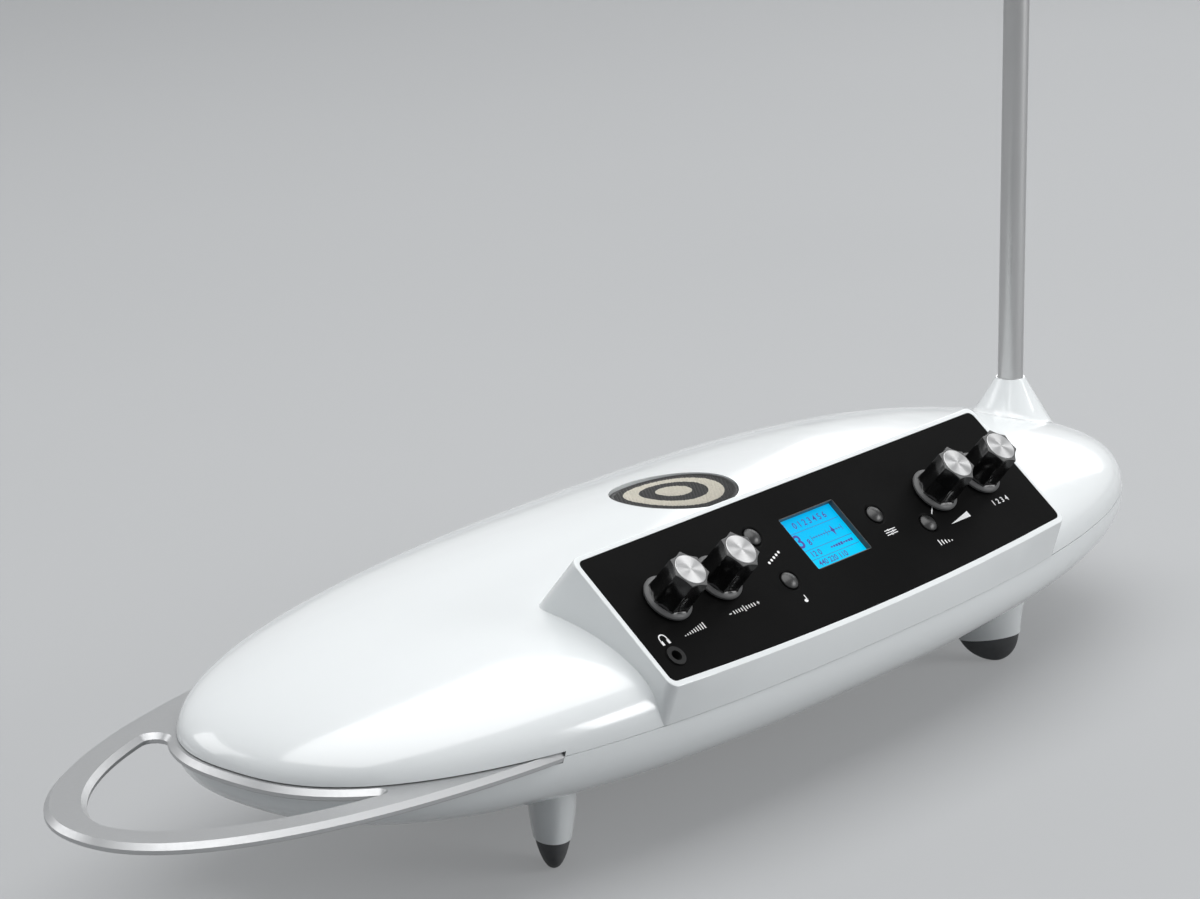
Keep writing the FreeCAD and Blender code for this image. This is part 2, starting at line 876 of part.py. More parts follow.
def plate_block(half_x, half_y, power, centre_x, low_z, high_z):
    """Superellipse block that ends square where the plate's tips end."""
    face = Part.Face(plan_wire(half_x, half_y, low_z, power, centre_x))
    block = face.extrude(Vec(0, 0, high_z - low_z))
    return block.common(box((-rest_of_body, -rest_of_body, low_z), (plate_end_x, rest_of_body, high_z)))


def plate_top():
    return seam_z + plate_rise


def plate_low():
    return plate_top() - plate_thickness


def plate_room():
    """Room that the plate takes between the two shells. It rests on the lower one."""
    low_z = plate_low()
    high_z = plate_top() + plate_top_gap
    room_half_depth = plate_half_depth + plate_gap
    room = plate_block(
        plate_half_length, room_half_depth, plate_power, plate_centre_x, low_z, high_z
    )
    room = room.fuse(room.translated(Vec(plate_gap, 0, 0)))
    return room.cut(plan_prism(-wall - plate_tab - plate_gap, low_z - past, high_z + past))


def volume_antenna():
    low_z = plate_low()
    high_z = plate_top()
    plate = plate_block(plate_half_length, plate_half_depth, plate_power, plate_centre_x, low_z, high_z)
    hole = plate_block(
        opening_half_length, opening_half_depth, opening_power, opening_centre_x, low_z - past, high_z + past
    )
    hole = hole.cut(plan_prism(plate_margin, low_z - 2 * past, high_z + 2 * past))
    corner_edges = [edge for edge in hole.Edges if upright(edge) and edge.CenterOfMass.x < plate_end_x - past]
    front = [edge for edge in corner_edges if edge.CenterOfMass.y < 0]
    rear = [edge for edge in corner_edges if edge.CenterOfMass.y > 0]
    hole = hole.makeFillet(front_tip_radius, front)
    old_rear_middles = [edge.CenterOfMass for edge in rear]
    rear = [
        edge for edge in hole.Edges for middle in old_rear_middles
        if edge.CenterOfMass.distanceToPoint(middle) < 0.1
    ]
    hole = hole.makeFillet(rear_tip_radius, rear)
    plate = plate.cut(hole)
    rims = [edge for edge in plate.Edges if abs(edge.CenterOfMass.z - high_z) < 0.01]
    rims += [edge for edge in plate.Edges if abs(edge.CenterOfMass.z - low_z) < 0.01]
    plate = plate.makeChamfer(plate_chamfer, rims)
    plate = plate.cut(plan_prism(-wall - plate_tab, low_z - past, high_z + past))
    for x, y in plate_screw_places:
        plate = plate.cut(rod(screw_hole, low_z - past, high_z + past, x, y))
    return plate


def upright(edge):
    ends = edge.Vertexes
    return len(ends) == 2 and abs(ends[0].X - ends[1].X) < 0.01 and abs(ends[0].Y - ends[1].Y) < 0.01


def plate_screws():
    screws = []
    for x, y in plate_screw_places:
        screw = rod(screw_radius, plate_low() - 5.0, plate_top(), x, y)
        head = rod(screw_head_radius, plate_top(), plate_top() + 1.6, x, y)
        screws.append(screw.fuse(head))
    return group(screws)


def rod_foot_z():
    return boot_top - rod_engage


def pitch_antenna_lower():
    low = rod_foot_z()
    high = low + rod_section
    tube = rod(rod_radius, low, high, rod_x).cut(rod(rod_radius - rod_wall, low - past, high + past, rod_x))
    foot = rod(rod_radius - rod_wall, low, low + plug_length, rod_x)
    plug = rod(rod_radius - rod_wall, high - plug_length, high, rod_x)
    stud = rod(stud_radius, high - past, high + stud_length, rod_x)
    return fused([tube, foot, plug, stud])


def pitch_antenna_upper():
    low = rod_foot_z() + rod_section
    high = low + rod_section
    tube = rod(rod_radius, low, high - 2.0, rod_x).cut(rod(rod_radius - rod_wall, low - past, high, rod_x))
    plug = rod(rod_radius - rod_wall, low, low + plug_length, rod_x)
    plug = plug.cut(rod(stud_radius + shaft_gap, low - past, low + stud_length + 0.5, rod_x))
    end = turned(
        [
            (0, high - 10.0),
            (rod_radius - rod_wall, high - 10.0),
            (rod_radius - rod_wall, high - 2.0),
            (rod_radius, high - 2.0),
            (rod_radius - 0.35, high - 0.9),
            (rod_radius - 1.1, high - 0.25),
            (rod_radius - 2.4, high),
            (0, high),
        ]
    )
    return fused([tube, plug, end.translated(Vec(rod_x, 0, 0))])


def antenna_socket():
    """Brass socket in the shell that takes the foot of the pitch rod."""
    low = rod_foot_z() - socket_floor
    high = boot_top - 10 - wall
    sleeve = rod(socket_radius, low, high, rod_x)
    flange = rod(socket_flange_radius, low, low + socket_flange, rod_x)
    bore = rod(rod_radius + rod_gap, rod_foot_z(), high + past, rod_x)
    return fused([sleeve, flange]).cut(bore)


# ------------------------------------------------------------------- speaker


def speaker_grille():
    """Round grille sunk in the crown, with rings of slots between cross bridges."""
    column = rod(grille_radius, seam_z, crown_z + past, 0, speaker_y)
    disc = column.common(crown_barrel(grille_sink)).cut(crown_barrel(grille_sink + grille_thickness))
    low = seam_z
    high = crown_z + past
    slots = []
    for ring in range(1, grille_rings + 1):
        outer = rod(grille_pitch * ring + grille_slot / 2, low, high)
        slots.append(outer.cut(rod(grille_pitch * ring - grille_slot / 2, low, high)))
    half = grille_bridge / 2
    bridges = box((-half, -grille_radius, low), (half, grille_radius, high)).fuse(
        box((-grille_radius, -half, low), (grille_radius, half, high))
    )
    for slot in slots:
        disc = disc.cut(slot.cut(bridges).translated(Vec(0, speaker_y, 0)))
    return disc


def speaker_top_z():
    """Highest level at which the flat speaker rim clears the curved dome wall."""
    return crown_z - wall - 4.2


def speaker_frame():
    high = speaker_top_z()
    frame = turned(
        [
            (magnet_radius, high - speaker_height + magnet_height),
            (magnet_radius + 2.5, high - speaker_height + magnet_height),
            (speaker_radius - 3.0, high - speaker_rim),
            (speaker_radius, high - speaker_rim),
            (speaker_radius, high),
            (speaker_radius - 3.2, high),
            (speaker_radius - 3.2, high - 1.4),
            (magnet_radius, high - speaker_height + magnet_height + 1.6),
        ]
    )
    magnet_top = high - speaker_height + magnet_height
    magnet = rod(magnet_radius, high - speaker_height, magnet_top)
    bridge = rod(magnet_radius + 1.0, magnet_top, magnet_top + 1.2)
    return fused([frame, magnet, bridge]).translated(Vec(0, speaker_y, 0))


def speaker_cone():
    high = speaker_top_z()
    low = high - speaker_height + magnet_height + 3.4
    cone = turned(
        [
            (0, low),
            (4.0, low),
            (speaker_radius - 4.4, high - 1.2),
            (speaker_radius - 3.3, high - 1.2),
            (speaker_radius - 3.3, high - 0.6),
            (speaker_radius - 4.8, high - 0.6),
            (4.2, low + 0.9),
            (0, low + 1.8),
        ]
    )
    return cone.translated(Vec(0, speaker_y, 0))


# -------------------------------------------------------------- rear panel


def jack_panel():
    half = bay_length / 2 - jack_panel_gap
    plate = box(
        (-half, bay_face_y - jack_panel_thickness, bay_low_z + jack_panel_gap),
        (half, bay_face_y, bay_high_z - jack_panel_gap),
    )
    holes = [on_back(rod(jack_sleeve + jack_hole_gap, -5 * past, past), x) for x in jack_places.values()]
    holes.append(on_back(rod(inlet_collar + jack_hole_gap, -5 * past, past), inlet_x))
    holes.append(on_back(rod(power_radius + 0.3, -5 * past, past), power_x))
    usb_half = (usb_width / 2, usb_height / 2)
    holes.append(on_back(box((-usb_half[0], -usb_half[1], -5), (usb_half[0], usb_half[1], past)), usb_x))
    slot = box((-slot_width / 2, -slot_height / 2, -5), (slot_width / 2, slot_height / 2, past))
    holes.append(on_back(fillet_along(slot, Vec(0, 0, 1), 1.4), slot_x))
    for hole in holes:
        plate = plate.cut(hole)
    return plate


def round_jack(x):
    """Quarter-inch jack: a block behind the panel with a threaded sleeve."""
    back = -jack_panel_thickness
    block = box(
        (-jack_body_width / 2, -jack_body_height / 2, back - jack_body_depth),
        (jack_body_width / 2, jack_body_height / 2, back),
    )
    sleeve = rod(jack_sleeve, back - past, jack_reach)
    bore = rod(jack_bore, jack_reach - jack_length, jack_reach + past)
    return on_back(fused([block, sleeve]).cut(bore), x)


def jack_nuts():
    nut = hexagon(jack_nut_flats, 0, jack_nut).cut(rod(jack_sleeve, -past, jack_nut + past))
    return group([on_back(nut, x) for x in jack_places.values()])


def power_inlet():
    back = -jack_panel_thickness
    block = box((-4.6, -5.2, back - inlet_depth), (4.6, 5.2, back))
    collar = rod(inlet_collar, back - past, 0.6)
    bore = rod(inlet_bore, 0.6 - 9.5, 1.6)
    pin = rod(inlet_pin, 0.6 - 9.6, -0.4)
    return on_back(fused([block, collar]).cut(bore).fuse(pin), inlet_x)


def usb_port():
    back = -jack_panel_thickness
    half_x = usb_width / 2
    half_y = usb_height / 2
    shell = box((-half_x, -half_y, back - usb_depth), (half_x, half_y, 0.5))
    hollow = box(
        (-half_x + usb_wall, -half_y + usb_wall, back - usb_depth + 2.0),
        (half_x - usb_wall, half_y - usb_wall, 1.5),
    )
    tongue = box((-2.8, -1.7, back - usb_depth + 1.5), (2.8, 1.7, -1.4))
    return on_back(shell.cut(hollow).fuse(tongue), usb_x)


def power_button():
    flange_high = -jack_panel_thickness - 0.15
    cap = rod(power_radius, flange_high - 1.0, power_reach)
    cap = cap.makeFillet(0.6, [edge for edge in cap.Edges if abs(edge.CenterOfMass.z - power_reach) < 0.01])
    flange = rod(power_radius + 1.0, flange_high - 1.0, flange_high)
    stem = rod(1.6, flange_high - 1.0 - power_travel - 1.2, flange_high - 0.5)
    return on_back(fused([cap, flange, stem]), power_x)


def power_switch():
    high = -jack_panel_thickness - 0.15 - 1.0 - power_travel - 0.1
    case = box((-5.0, -5.0, high - 13.0), (5.0, 5.0, high))
    hole = rod(1.9, high - 4.5, high + past)
    return on_back(case.cut(hole), power_x)


# ----------------------------------------------------------- boards and rest


def main_board():
    board = box(
        (-main_board_length / 2, main_board_front_y, main_board_z()),
        (main_board_length / 2, main_board_back_y, main_board_z() + board_thickness),
    )
    for x, y in board_screw_places:
        board = board.cut(rod(screw_hole, 0, seam_z, x, y))
    return board


def board_parts():
    """The larger parts that stand on the main board."""
    base = main_board_z() + board_thickness
    parts = []
    capacitor_x = board_screw_x - 12.0
    for x in (-capacitor_x, capacitor_x):
        parts.append(rod(4.5, base, base + 11.0, x, main_board_front_y + 12.0))
    front_y = main_board_front_y
    parts.append(box((-9.0, front_y + 4.0, base), (9.0, front_y + 18.0, base + 1.6)))
    parts.append(box((-32.0, front_y + 3.0, base), (-22.0, front_y + 13.0, base + 1.6)))
    parts.append(box((24.0, front_y + 2.0, base), (44.0, front_y + 7.0, base + 8.0)))
    return group(parts)


def board_screws():
    screws = []
    top = main_board_z() + board_thickness
    for x, y in board_screw_places:
        screw = rod(screw_radius, top - board_thickness - 4.5, top, x, y)
        screws.append(screw.fuse(rod(screw_head_radius, top, top + 1.8, x, y)))
    return group(screws)


def shell_screws():
    screws = []
    for x, y in shell_screw_places:
        head = rod(screw_head_radius, head_seat - screw_head, head_seat, x, y)
        shank = rod(screw_radius, head_seat - 0.5, seam_z + screw_bite - 0.5, x, y)
        screws.append(head.fuse(shank))
    return group(screws)


def foot_tip(side_x, side_y):
    return whole_leg(side_x, side_y, tip_inset).common(under_joint(side_x, side_y))


def stand_insert():
    """Threaded brass insert for a microphone stand, at its thread's core size."""
    return rod(stand_insert_radius, 0, stand_length).cut(rod(stand_bore, -past, stand_length + past))


def knob_set():
    """The four rotary controls, by name, with their place along the panel."""
    return {
        "volume": -outer_knob_u,
        "pitch_bias": -inner_knob_u,
        "amount": inner_knob_u,
        "preset": outer_knob_u,
    }


def all_nodes():
    nodes = {
        "top_shell": top_shell(),
        "bottom_shell": bottom_shell(),
        "control_panel": control_panel(),
        "display_glass": display_glass(),
        "display_frame": display_frame(),
        "panel_board": panel_board(),
        "button_switches": button_switches(),
        "headphone_jack": headphone_jack(),
        "volume_antenna": volume_antenna(),
        "volume_antenna_screws": plate_screws(),
        "pitch_antenna_lower": pitch_antenna_lower(),
        "pitch_antenna_upper": pitch_antenna_upper(),
        "antenna_socket": antenna_socket(),
        "speaker_grille": speaker_grille(),
        "speaker_frame": speaker_frame(),
        "speaker_cone": speaker_cone(),
        "jack_panel": jack_panel(),
        "jack_nuts": jack_nuts(),
        "power_inlet": power_inlet(),
        "usb_port": usb_port(),
        "power_button": power_button(),
        "power_switch": power_switch(),
        "main_board": main_board(),
        "board_parts": board_parts(),
        "board_screws": board_screws(),
        "shell_screws": shell_screws(),
        "stand_insert": stand_insert(),
    }
    places = knob_set()
    for name, u in places.items():
        nodes[name + "_knob"] = on_panel(knob(), u, knob_row_v)
        nodes[name + "_knob_cap"] = on_panel(knob_cap(), u, knob_row_v)
        nodes[name + "_shaft"] = on_panel(pot_shaft(), u, knob_row_v)
        nodes[name + "_control"] = on_panel(pot(), u, knob_row_v)
    nodes["control_nuts"] = group([on_panel(pot_nut(), u, knob_row_v) for u in places.values()])
    for name, (u, v) in button_places.items():
        nodes[name] = on_panel(button(), u, v)
    for name, x in jack_places.items():
        nodes[name] = round_jack(x)
    names = ["front_left_foot", "front_right_foot", "rear_left_foot", "rear_right_foot"]
    for name, corner in zip(names, corners):
        nodes[name] = foot_tip(*corner)
    return nodes


os.makedirs("parts", exist_ok=True)
for node_name, node_shape in all_nodes().items():
    node_shape.exportStep("parts/" + node_name + ".step")
    solids = node_shape.Solids
    volume = sum(solid.Volume for solid in solids) / 1000
    state = "valid" if node_shape.isValid() else "NOT VALID"
    print(node_name, len(solids), "solids", round(volume, 2), "cm3", state)
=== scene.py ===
"""Looks of a desktop theremin: white moulded body, black control panel, rod and plate antennas.

Metres, in the part's own frame: the pitch rod stands at +X, the volume plate lies at -X,
the player is at -Y and the origin is the mouth of the stand thread.
"""

import json
import math
from functools import partial

import bmesh
import bpy
import numpy as np
from mathutils import Matrix, Vector

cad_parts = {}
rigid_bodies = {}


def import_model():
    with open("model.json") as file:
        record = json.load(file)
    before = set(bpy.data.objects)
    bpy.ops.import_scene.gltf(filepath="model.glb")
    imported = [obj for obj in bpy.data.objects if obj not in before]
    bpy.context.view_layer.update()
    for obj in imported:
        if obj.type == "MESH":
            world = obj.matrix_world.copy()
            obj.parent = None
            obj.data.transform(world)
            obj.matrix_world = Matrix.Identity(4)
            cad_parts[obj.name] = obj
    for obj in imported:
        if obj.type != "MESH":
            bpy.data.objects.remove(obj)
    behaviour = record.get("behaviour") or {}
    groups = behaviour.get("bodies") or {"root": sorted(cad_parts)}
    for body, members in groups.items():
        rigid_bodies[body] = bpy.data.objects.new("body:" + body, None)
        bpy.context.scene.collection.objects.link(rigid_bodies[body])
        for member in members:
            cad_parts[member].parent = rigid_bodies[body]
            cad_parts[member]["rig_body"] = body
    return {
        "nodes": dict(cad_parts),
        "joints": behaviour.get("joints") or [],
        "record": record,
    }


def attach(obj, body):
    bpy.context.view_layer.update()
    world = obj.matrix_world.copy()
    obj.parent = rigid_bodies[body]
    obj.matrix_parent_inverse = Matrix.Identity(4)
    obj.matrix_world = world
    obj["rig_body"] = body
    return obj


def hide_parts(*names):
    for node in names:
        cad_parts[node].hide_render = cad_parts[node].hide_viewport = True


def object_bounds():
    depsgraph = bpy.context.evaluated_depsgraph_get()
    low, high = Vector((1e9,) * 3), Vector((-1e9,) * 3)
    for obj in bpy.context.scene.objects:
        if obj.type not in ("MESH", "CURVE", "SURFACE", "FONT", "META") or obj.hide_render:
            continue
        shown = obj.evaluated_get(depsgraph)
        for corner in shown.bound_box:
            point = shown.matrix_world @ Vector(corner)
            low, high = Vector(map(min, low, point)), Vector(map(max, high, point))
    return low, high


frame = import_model()
cad_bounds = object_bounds()


def mm(value):
    return value * 0.001


# -------- measures

# Body: two half shells, outlines as superellipses
half_length = mm(210.5)
half_depth = mm(77.0)
seam_z = mm(27.7)
dome_height = mm(33.8)
plan_power = 2.55
dome_powers = (1.65, 2.4)
bowl_powers = (2.6, 2.9)
crown_shift = mm(12.0)

# Control panel: u runs right, v down the slope, h out of its face
panel_thickness = mm(2.0)
knob_row_v = mm(21.9)
window_u = mm(-1.0)
window_v = mm(21.3)
window_length = mm(28.2)
window_height = mm(20.8)
glass_h = -panel_thickness
print_height = mm(0.03)

# Knobs
knob_height = mm(15.0)
knob_lobes = 7
knob_ridge = mm(7.1)
knob_valley = mm(5.9)
knob_scallop = mm(9.0)
knob_softness = mm(0.22)
knob_skirt = mm(8.3)
knob_base = mm(6.2)
knob_cap_radius = mm(5.3)
# Knob heights below and above which the plastic is frosted and its colour is a lighter grey of painted
# sheen
satin_and_sheen_below = mm(2.2)
satin_and_sheen_above = mm(14.8)

# Screws that close the body, from below
screw_radius = mm(1.45)
screw_head_radius = mm(2.8)
screw_cross_radius = mm(1.5)
screw_shank_low = mm(1.0)
screw_shank_high = mm(24.0)
screw_bore_z = mm(5.9)
end_screw_x = mm(162.0)
right_screw_y = mm(30.0)
left_screw_y = mm(26.0)
rear_screw_x = mm(92.0)
rear_screw_y = mm(44.0)

# Push buttons: a domed crown over a flange and a stem
button_radius = mm(3.1)
button_crown = mm(1.3)
button_edge = mm(-0.12)
button_flange = mm(4.0)
button_flange_low = mm(-2.95)
button_flange_high = mm(-2.15)
button_stem = mm(1.3)
button_stem_low = mm(-4.9)
button_places = {
    "scale_button": (mm(-30.2), mm(13.0)),
    "root_button": (mm(-29.6), mm(31.2)),
    "setup_button": (mm(25.3), mm(21.4)),
    "delay_button": (mm(44.3), mm(31.2)),
}

# Loudspeaker grille
speaker_y = mm(6.8)
grille_radius = mm(21.0)
grille_sink = mm(0.6)
grille_rear_drop = mm(0.7)
grille_rim = mm(1.6)
weave_radius = grille_radius - grille_rim * 0.6
weave_pitch = mm(0.75)
weave_wire = mm(0.17)
weave_rise_share = 0.55
weave_drop = mm(0.25)
wire_corners = 4
felt_radius = grille_radius - grille_rim * 0.9
felt_drop = mm(0.75)
felt_foot = mm(1.2)
rim_foot = mm(-0.95)
ring_outer = mm(16.5)
ring_inner = mm(11.3)
ring_core = mm(6.0)

joints = {joint["name"]: joint for joint in frame["joints"]}
panel_out = Vector(joints["volume_turn"]["axis"]).normalized()
panel_right = Vector((1, 0, 0))
panel_down = panel_right.cross(panel_out)
knob_places = {
    name: Vector(joints[name + "_turn"]["pos_m"])
    for name in ("volume", "pitch_bias", "amount", "preset")
}
panel_origin = knob_places["volume"] - panel_down * knob_row_v
panel_origin.x = 0.0


def panel_matrix(u=0.0, v=0.0, h=0.0):
    """Carries shapes drawn on XY, +Y up the slope and +Z outwards, onto the panel."""
    place = panel_origin + panel_right * u + panel_down * v + panel_out * h
    turn = Matrix((panel_right, -panel_down, panel_out)).transposed()
    return Matrix.Translation(place) @ turn.to_4x4()


def in_scene(name, data):
    """New object in the scene, made of a mesh, a curve, a lamp or a lens."""
    thing = bpy.data.objects.new(name, data)
    bpy.context.scene.collection.objects.link(thing)
    return thing


# -------- camera

camera_azimuth = math.radians(-50.0)
camera_elevation = math.radians(16.478)
camera_roll = math.radians(-0.79)
camera_place = Vector((-0.96058, -0.76834, 0.4398))
camera_lens = 119.54
film_width = 36.0


def make_camera():
    level = math.cos(camera_elevation)
    back = Vector(
        (math.sin(camera_azimuth) * level, -math.cos(camera_azimuth) * level, math.sin(camera_elevation))
    )
    right = Vector((math.cos(camera_azimuth), math.sin(camera_azimuth), 0))
    up = back.cross(right)
    rolled_right = right * math.cos(camera_roll) + up * math.sin(camera_roll)
    rolled_up = up * math.cos(camera_roll) - right * math.sin(camera_roll)
    lens = bpy.data.cameras.new("camera")
    lens.lens = camera_lens
    lens.sensor_width = film_width
    lens.sensor_fit = "HORIZONTAL"
    camera = in_scene("camera", lens)
    turn = Matrix((rolled_right, rolled_up, back)).transposed()
    camera.matrix_world = Matrix.Translation(camera_place) @ turn.to_4x4()
    bpy.context.scene.camera = camera


make_camera()

# -------- node helpers


def add(tree, kind, inputs=None, **settings):
    """Adds a node. Each input gets a plain value, or a link where a socket is given."""
    node = tree.nodes.new(kind)
    for name, value in settings.items():
        setattr(node, name, value)
    for key, value in (inputs or {}).items():
        if isinstance(value, bpy.types.NodeSocket):
            tree.links.new(value, node.inputs[key])
        else:
            node.inputs[key].default_value = value
    return node


def maths(tree, operation, first, second=0.0):
    return add(tree, "ShaderNodeMath", {0: first, 1: second}, operation=operation).outputs[0]


def place_on(tree, middle=(0, 0, 0), turn=(0, 0, 0), scale=(1, 1, 1)):
    """Object coordinates, moved so that middle is their origin."""
    coordinates = add(tree, "ShaderNodeTexCoord").outputs["Object"]
    shifted = add(tree, "ShaderNodeVectorMath", {0: coordinates, 1: middle}, operation="SUBTRACT")
    mapping = {"Vector": shifted.outputs[0], "Rotation": turn, "Scale": scale}
    return add(tree, "ShaderNodeMapping", mapping).outputs[0]


def noise(tree, where, scale, detail=2.0):
    inputs = {"Vector": where, "Scale": scale, "Detail": detail}
    return add(tree, "ShaderNodeTexNoise", inputs).outputs["Fac"]


def spread(tree, value, low, high, start=0.3, end=0.7):
    """Maps a value that runs from start to end onto the range from low to high."""
    inputs = {"Value": value, "From Min": start, "From Max": end, "To Min": low, "To Max": high}
    return add(tree, "ShaderNodeMapRange", inputs).outputs[0]


def vector(tree, parts):
    """Vector with the given parts by axis, and 0 on the others."""
    return add(tree, "ShaderNodeCombineXYZ", parts).outputs[0]


def blend_colours(tree, share, first, second):
    """Mix of two colours, which a Mix node takes at its sockets 6 and 7."""
    return add(tree, "ShaderNodeMix", {0: share, 6: first, 7: second}, data_type="RGBA").outputs[2]


def grey(value):
    return (value, value, value, 1.0)


def shaded(colour, factor):
    return tuple(channel * factor for channel in colour[:3]) + (1.0,)


# -------- finishes


class Finish:
    """A Principled material in the making: plain values first, then what varies."""

    def __init__(self, name, colour, **plain):
        self.material = bpy.data.materials.new(name)
        self.material.use_nodes = True
        self.tree = self.material.node_tree
        self.shader = self.tree.nodes["Principled BSDF"]
        self.colour = colour
        self.shader.inputs["Base Color"].default_value = colour
        for setting, value in plain.items():
            socket = setting.replace("_", " ").title().replace("Ior", "IOR")
            self.shader.inputs[socket].default_value = value

    def feed(self, socket, value):
        """Links what a node gives to one of the shader's sockets."""
        self.tree.links.new(value, self.shader.inputs[socket])

    def tone(self, scale, depth):
        """Lets the colour drift a little darker in soft patches."""
        patches = noise(self.tree, place_on(self.tree), scale)
        share = spread(self.tree, patches, 0.0, 1.0)
        drift = blend_colours(self.tree, share, self.colour, shaded(self.colour, 1 - depth))
        self.feed("Base Color", drift)
        return self

    def wear(self, scale, low, high, where=None):
        """Varies the roughness between two values."""
        patches = noise(self.tree, where or place_on(self.tree), scale, detail=4.0)
        self.feed("Roughness", spread(self.tree, patches, low, high))
        return self

    def grain(self, scale, height, detail=2.0, where=None):
        """Adds a fine relief of a given height in metres."""
        relief = noise(self.tree, where or place_on(self.tree), scale, detail)
        self.relief(relief, height)
        return self

    def relief(self, value, height):
        """Raises the surface by a value from 0 to 1, times a height in metres."""
        bump = add(self.tree, "ShaderNodeBump", {"Height": value, "Distance": height, "Strength": 1.0})
        self.feed("Normal", bump.outputs[0])


def white_gloss():
    finish = Finish("moulded_white_gloss", (0.80, 0.825, 0.83, 1), coat_weight=0.6, coat_roughness=0.1)
    return finish.tone(7, 0.02).wear(90, 0.13, 0.2).grain(260, mm(0.0015)).material


def panel_black():
    finish = Finish("panel_matte_black", grey(0.005), specular_ior_level=0.03)
    return finish.tone(30, 0.25).wear(260, 0.42, 0.5).grain(5200, mm(0.005)).material


def black_gloss():
    finish = Finish("button_gloss_black", grey(0.016), specular_ior_level=0.6)
    return finish.tone(140, 0.3).wear(420, 0.3, 0.38).grain(1600, mm(0.001)).material


def knob_black():
    """Polished flutes; the skirt and the top face keep the mould's fine frosted grain, and their lighter
    grey colour is painted sheen.
    """
    polished_black = grey(0.006)
    # Painted sheen: the lighter grey on the skirt and top face, where the plastic is the same black as
    # the flutes
    painted_sheen_grey = grey(0.095)
    finish = Finish("knob_polished_black_frosted_painted_sheen", polished_black, specular_ior_level=0.4)
    tree = finish.tree
    where = place_on(tree, middle=tuple(panel_origin))
    over_panel = add(tree, "ShaderNodeVectorMath", {0: where, 1: panel_out}, operation="DOT_PRODUCT")
    height = over_panel.outputs["Value"]
    low = maths(tree, "LESS_THAN", height, satin_and_sheen_below)
    high = maths(tree, "GREATER_THAN", height, satin_and_sheen_above)
    satin_and_sheen_zone = maths(tree, "MAXIMUM", low, high)
    finish.feed("Base Color", blend_colours(tree, satin_and_sheen_zone, polished_black, painted_sheen_grey))
    flutes = spread(tree, noise(tree, place_on(tree), 420, detail=4.0), 0.1, 0.2)
    skirt = spread(tree, noise(tree, place_on(tree), 900, detail=4.0), 0.36, 0.48)
    roughness = add(tree, "ShaderNodeMix", {0: satin_and_sheen_zone, 2: flutes, 3: skirt}).outputs[0]
    finish.feed("Roughness", roughness)
    return finish.grain(1600, mm(0.002)).material


def black_plastic():
    finish = Finish("textured_black_plastic", grey(0.012), specular_ior_level=0.25)
    return finish.tone(90, 0.25).wear(600, 0.4, 0.55).grain(3600, mm(0.014)).material


def foot_rubber():
    finish = Finish("foot_rubber_grey", (0.085, 0.087, 0.09, 1), specular_ior_level=0.35)
    return finish.tone(120, 0.25).wear(500, 0.5, 0.66).grain(2600, mm(0.02)).material


def spun_aluminium():
    """Face turned on a lathe: fine rings, and light that fans out from the centre."""
    finish = Finish("spun_aluminium", grey(0.56), metallic=1.0, anisotropic=0.9)
    tree = finish.tree
    ring = add(tree, "ShaderNodeSeparateXYZ", {0: add(tree, "ShaderNodeUVMap").outputs[0]})
    grooves = noise(tree, vector(tree, {0: ring.outputs[1]}), 160, detail=3.0)
    finish.relief(grooves, mm(0.004))
    finish.feed("Roughness", spread(tree, grooves, 0.32, 0.42))
    finish.feed("Tangent", add(tree, "ShaderNodeTangent", direction_type="UV_MAP").outputs[0])
    return finish.material


def brushed_rod():
    """Satin tube, drawn lengthwise: long faint lines and patches of handling."""
    finish = Finish("satin_rod_metal", grey(0.52), metallic=1.0)
    lines = place_on(finish.tree, scale=(1, 1, 0.02))
    finish.tone(14, 0.06).wear(2600, 0.30, 0.38, where=lines)
    return finish.grain(5200, mm(0.002), where=lines).material


def satin_plate():
    finish = Finish("satin_plate_metal", (0.46, 0.465, 0.47, 1), metallic=0.8)
    return finish.tone(16, 0.04).wear(700, 0.30, 0.38).material


def plain_metal(name, colour, low, high):
    finish = Finish(name, colour, metallic=1.0)
    return finish.tone(220, 0.15).wear(700, low, high).grain(2400, mm(0.003)).material


def circuit_green():
    """Solder mask with copper tracks showing through as lighter lines."""
    mask = (0.012, 0.07, 0.03, 1)
    thick_mask = (0.010, 0.06, 0.026, 1)
    track = (0.03, 0.16, 0.06, 1)
    finish = Finish("circuit_board_green", mask)
    inputs = {"Vector": place_on(finish.tree), "Color1": mask, "Color2": thick_mask, "Mortar": track}
    inputs.update({"Scale": 260.0, "Mortar Size": 0.03})
    tracks = add(finish.tree, "ShaderNodeTexBrick", inputs)
    finish.feed("Base Color", tracks.outputs[0])
    finish.relief(tracks.outputs[1], mm(0.03))
    return finish.wear(300, 0.3, 0.42).material


def part_grey():
    finish = Finish("component_case", grey(0.03))
    return finish.tone(300, 0.3).wear(900, 0.35, 0.5).material


def cone_paper():
    finish = Finish("pressed_paper", (0.03, 0.03, 0.032, 1))
    return finish.tone(200, 0.3).wear(500, 0.7, 0.85).grain(1800, mm(0.05), detail=5.0).material


def felt_black():
    finish = Finish("backing_felt", grey(0.006), sheen_weight=0.3)
    return finish.tone(400, 0.4).wear(900, 0.8, 0.95).grain(3000, mm(0.06), detail=5.0).material


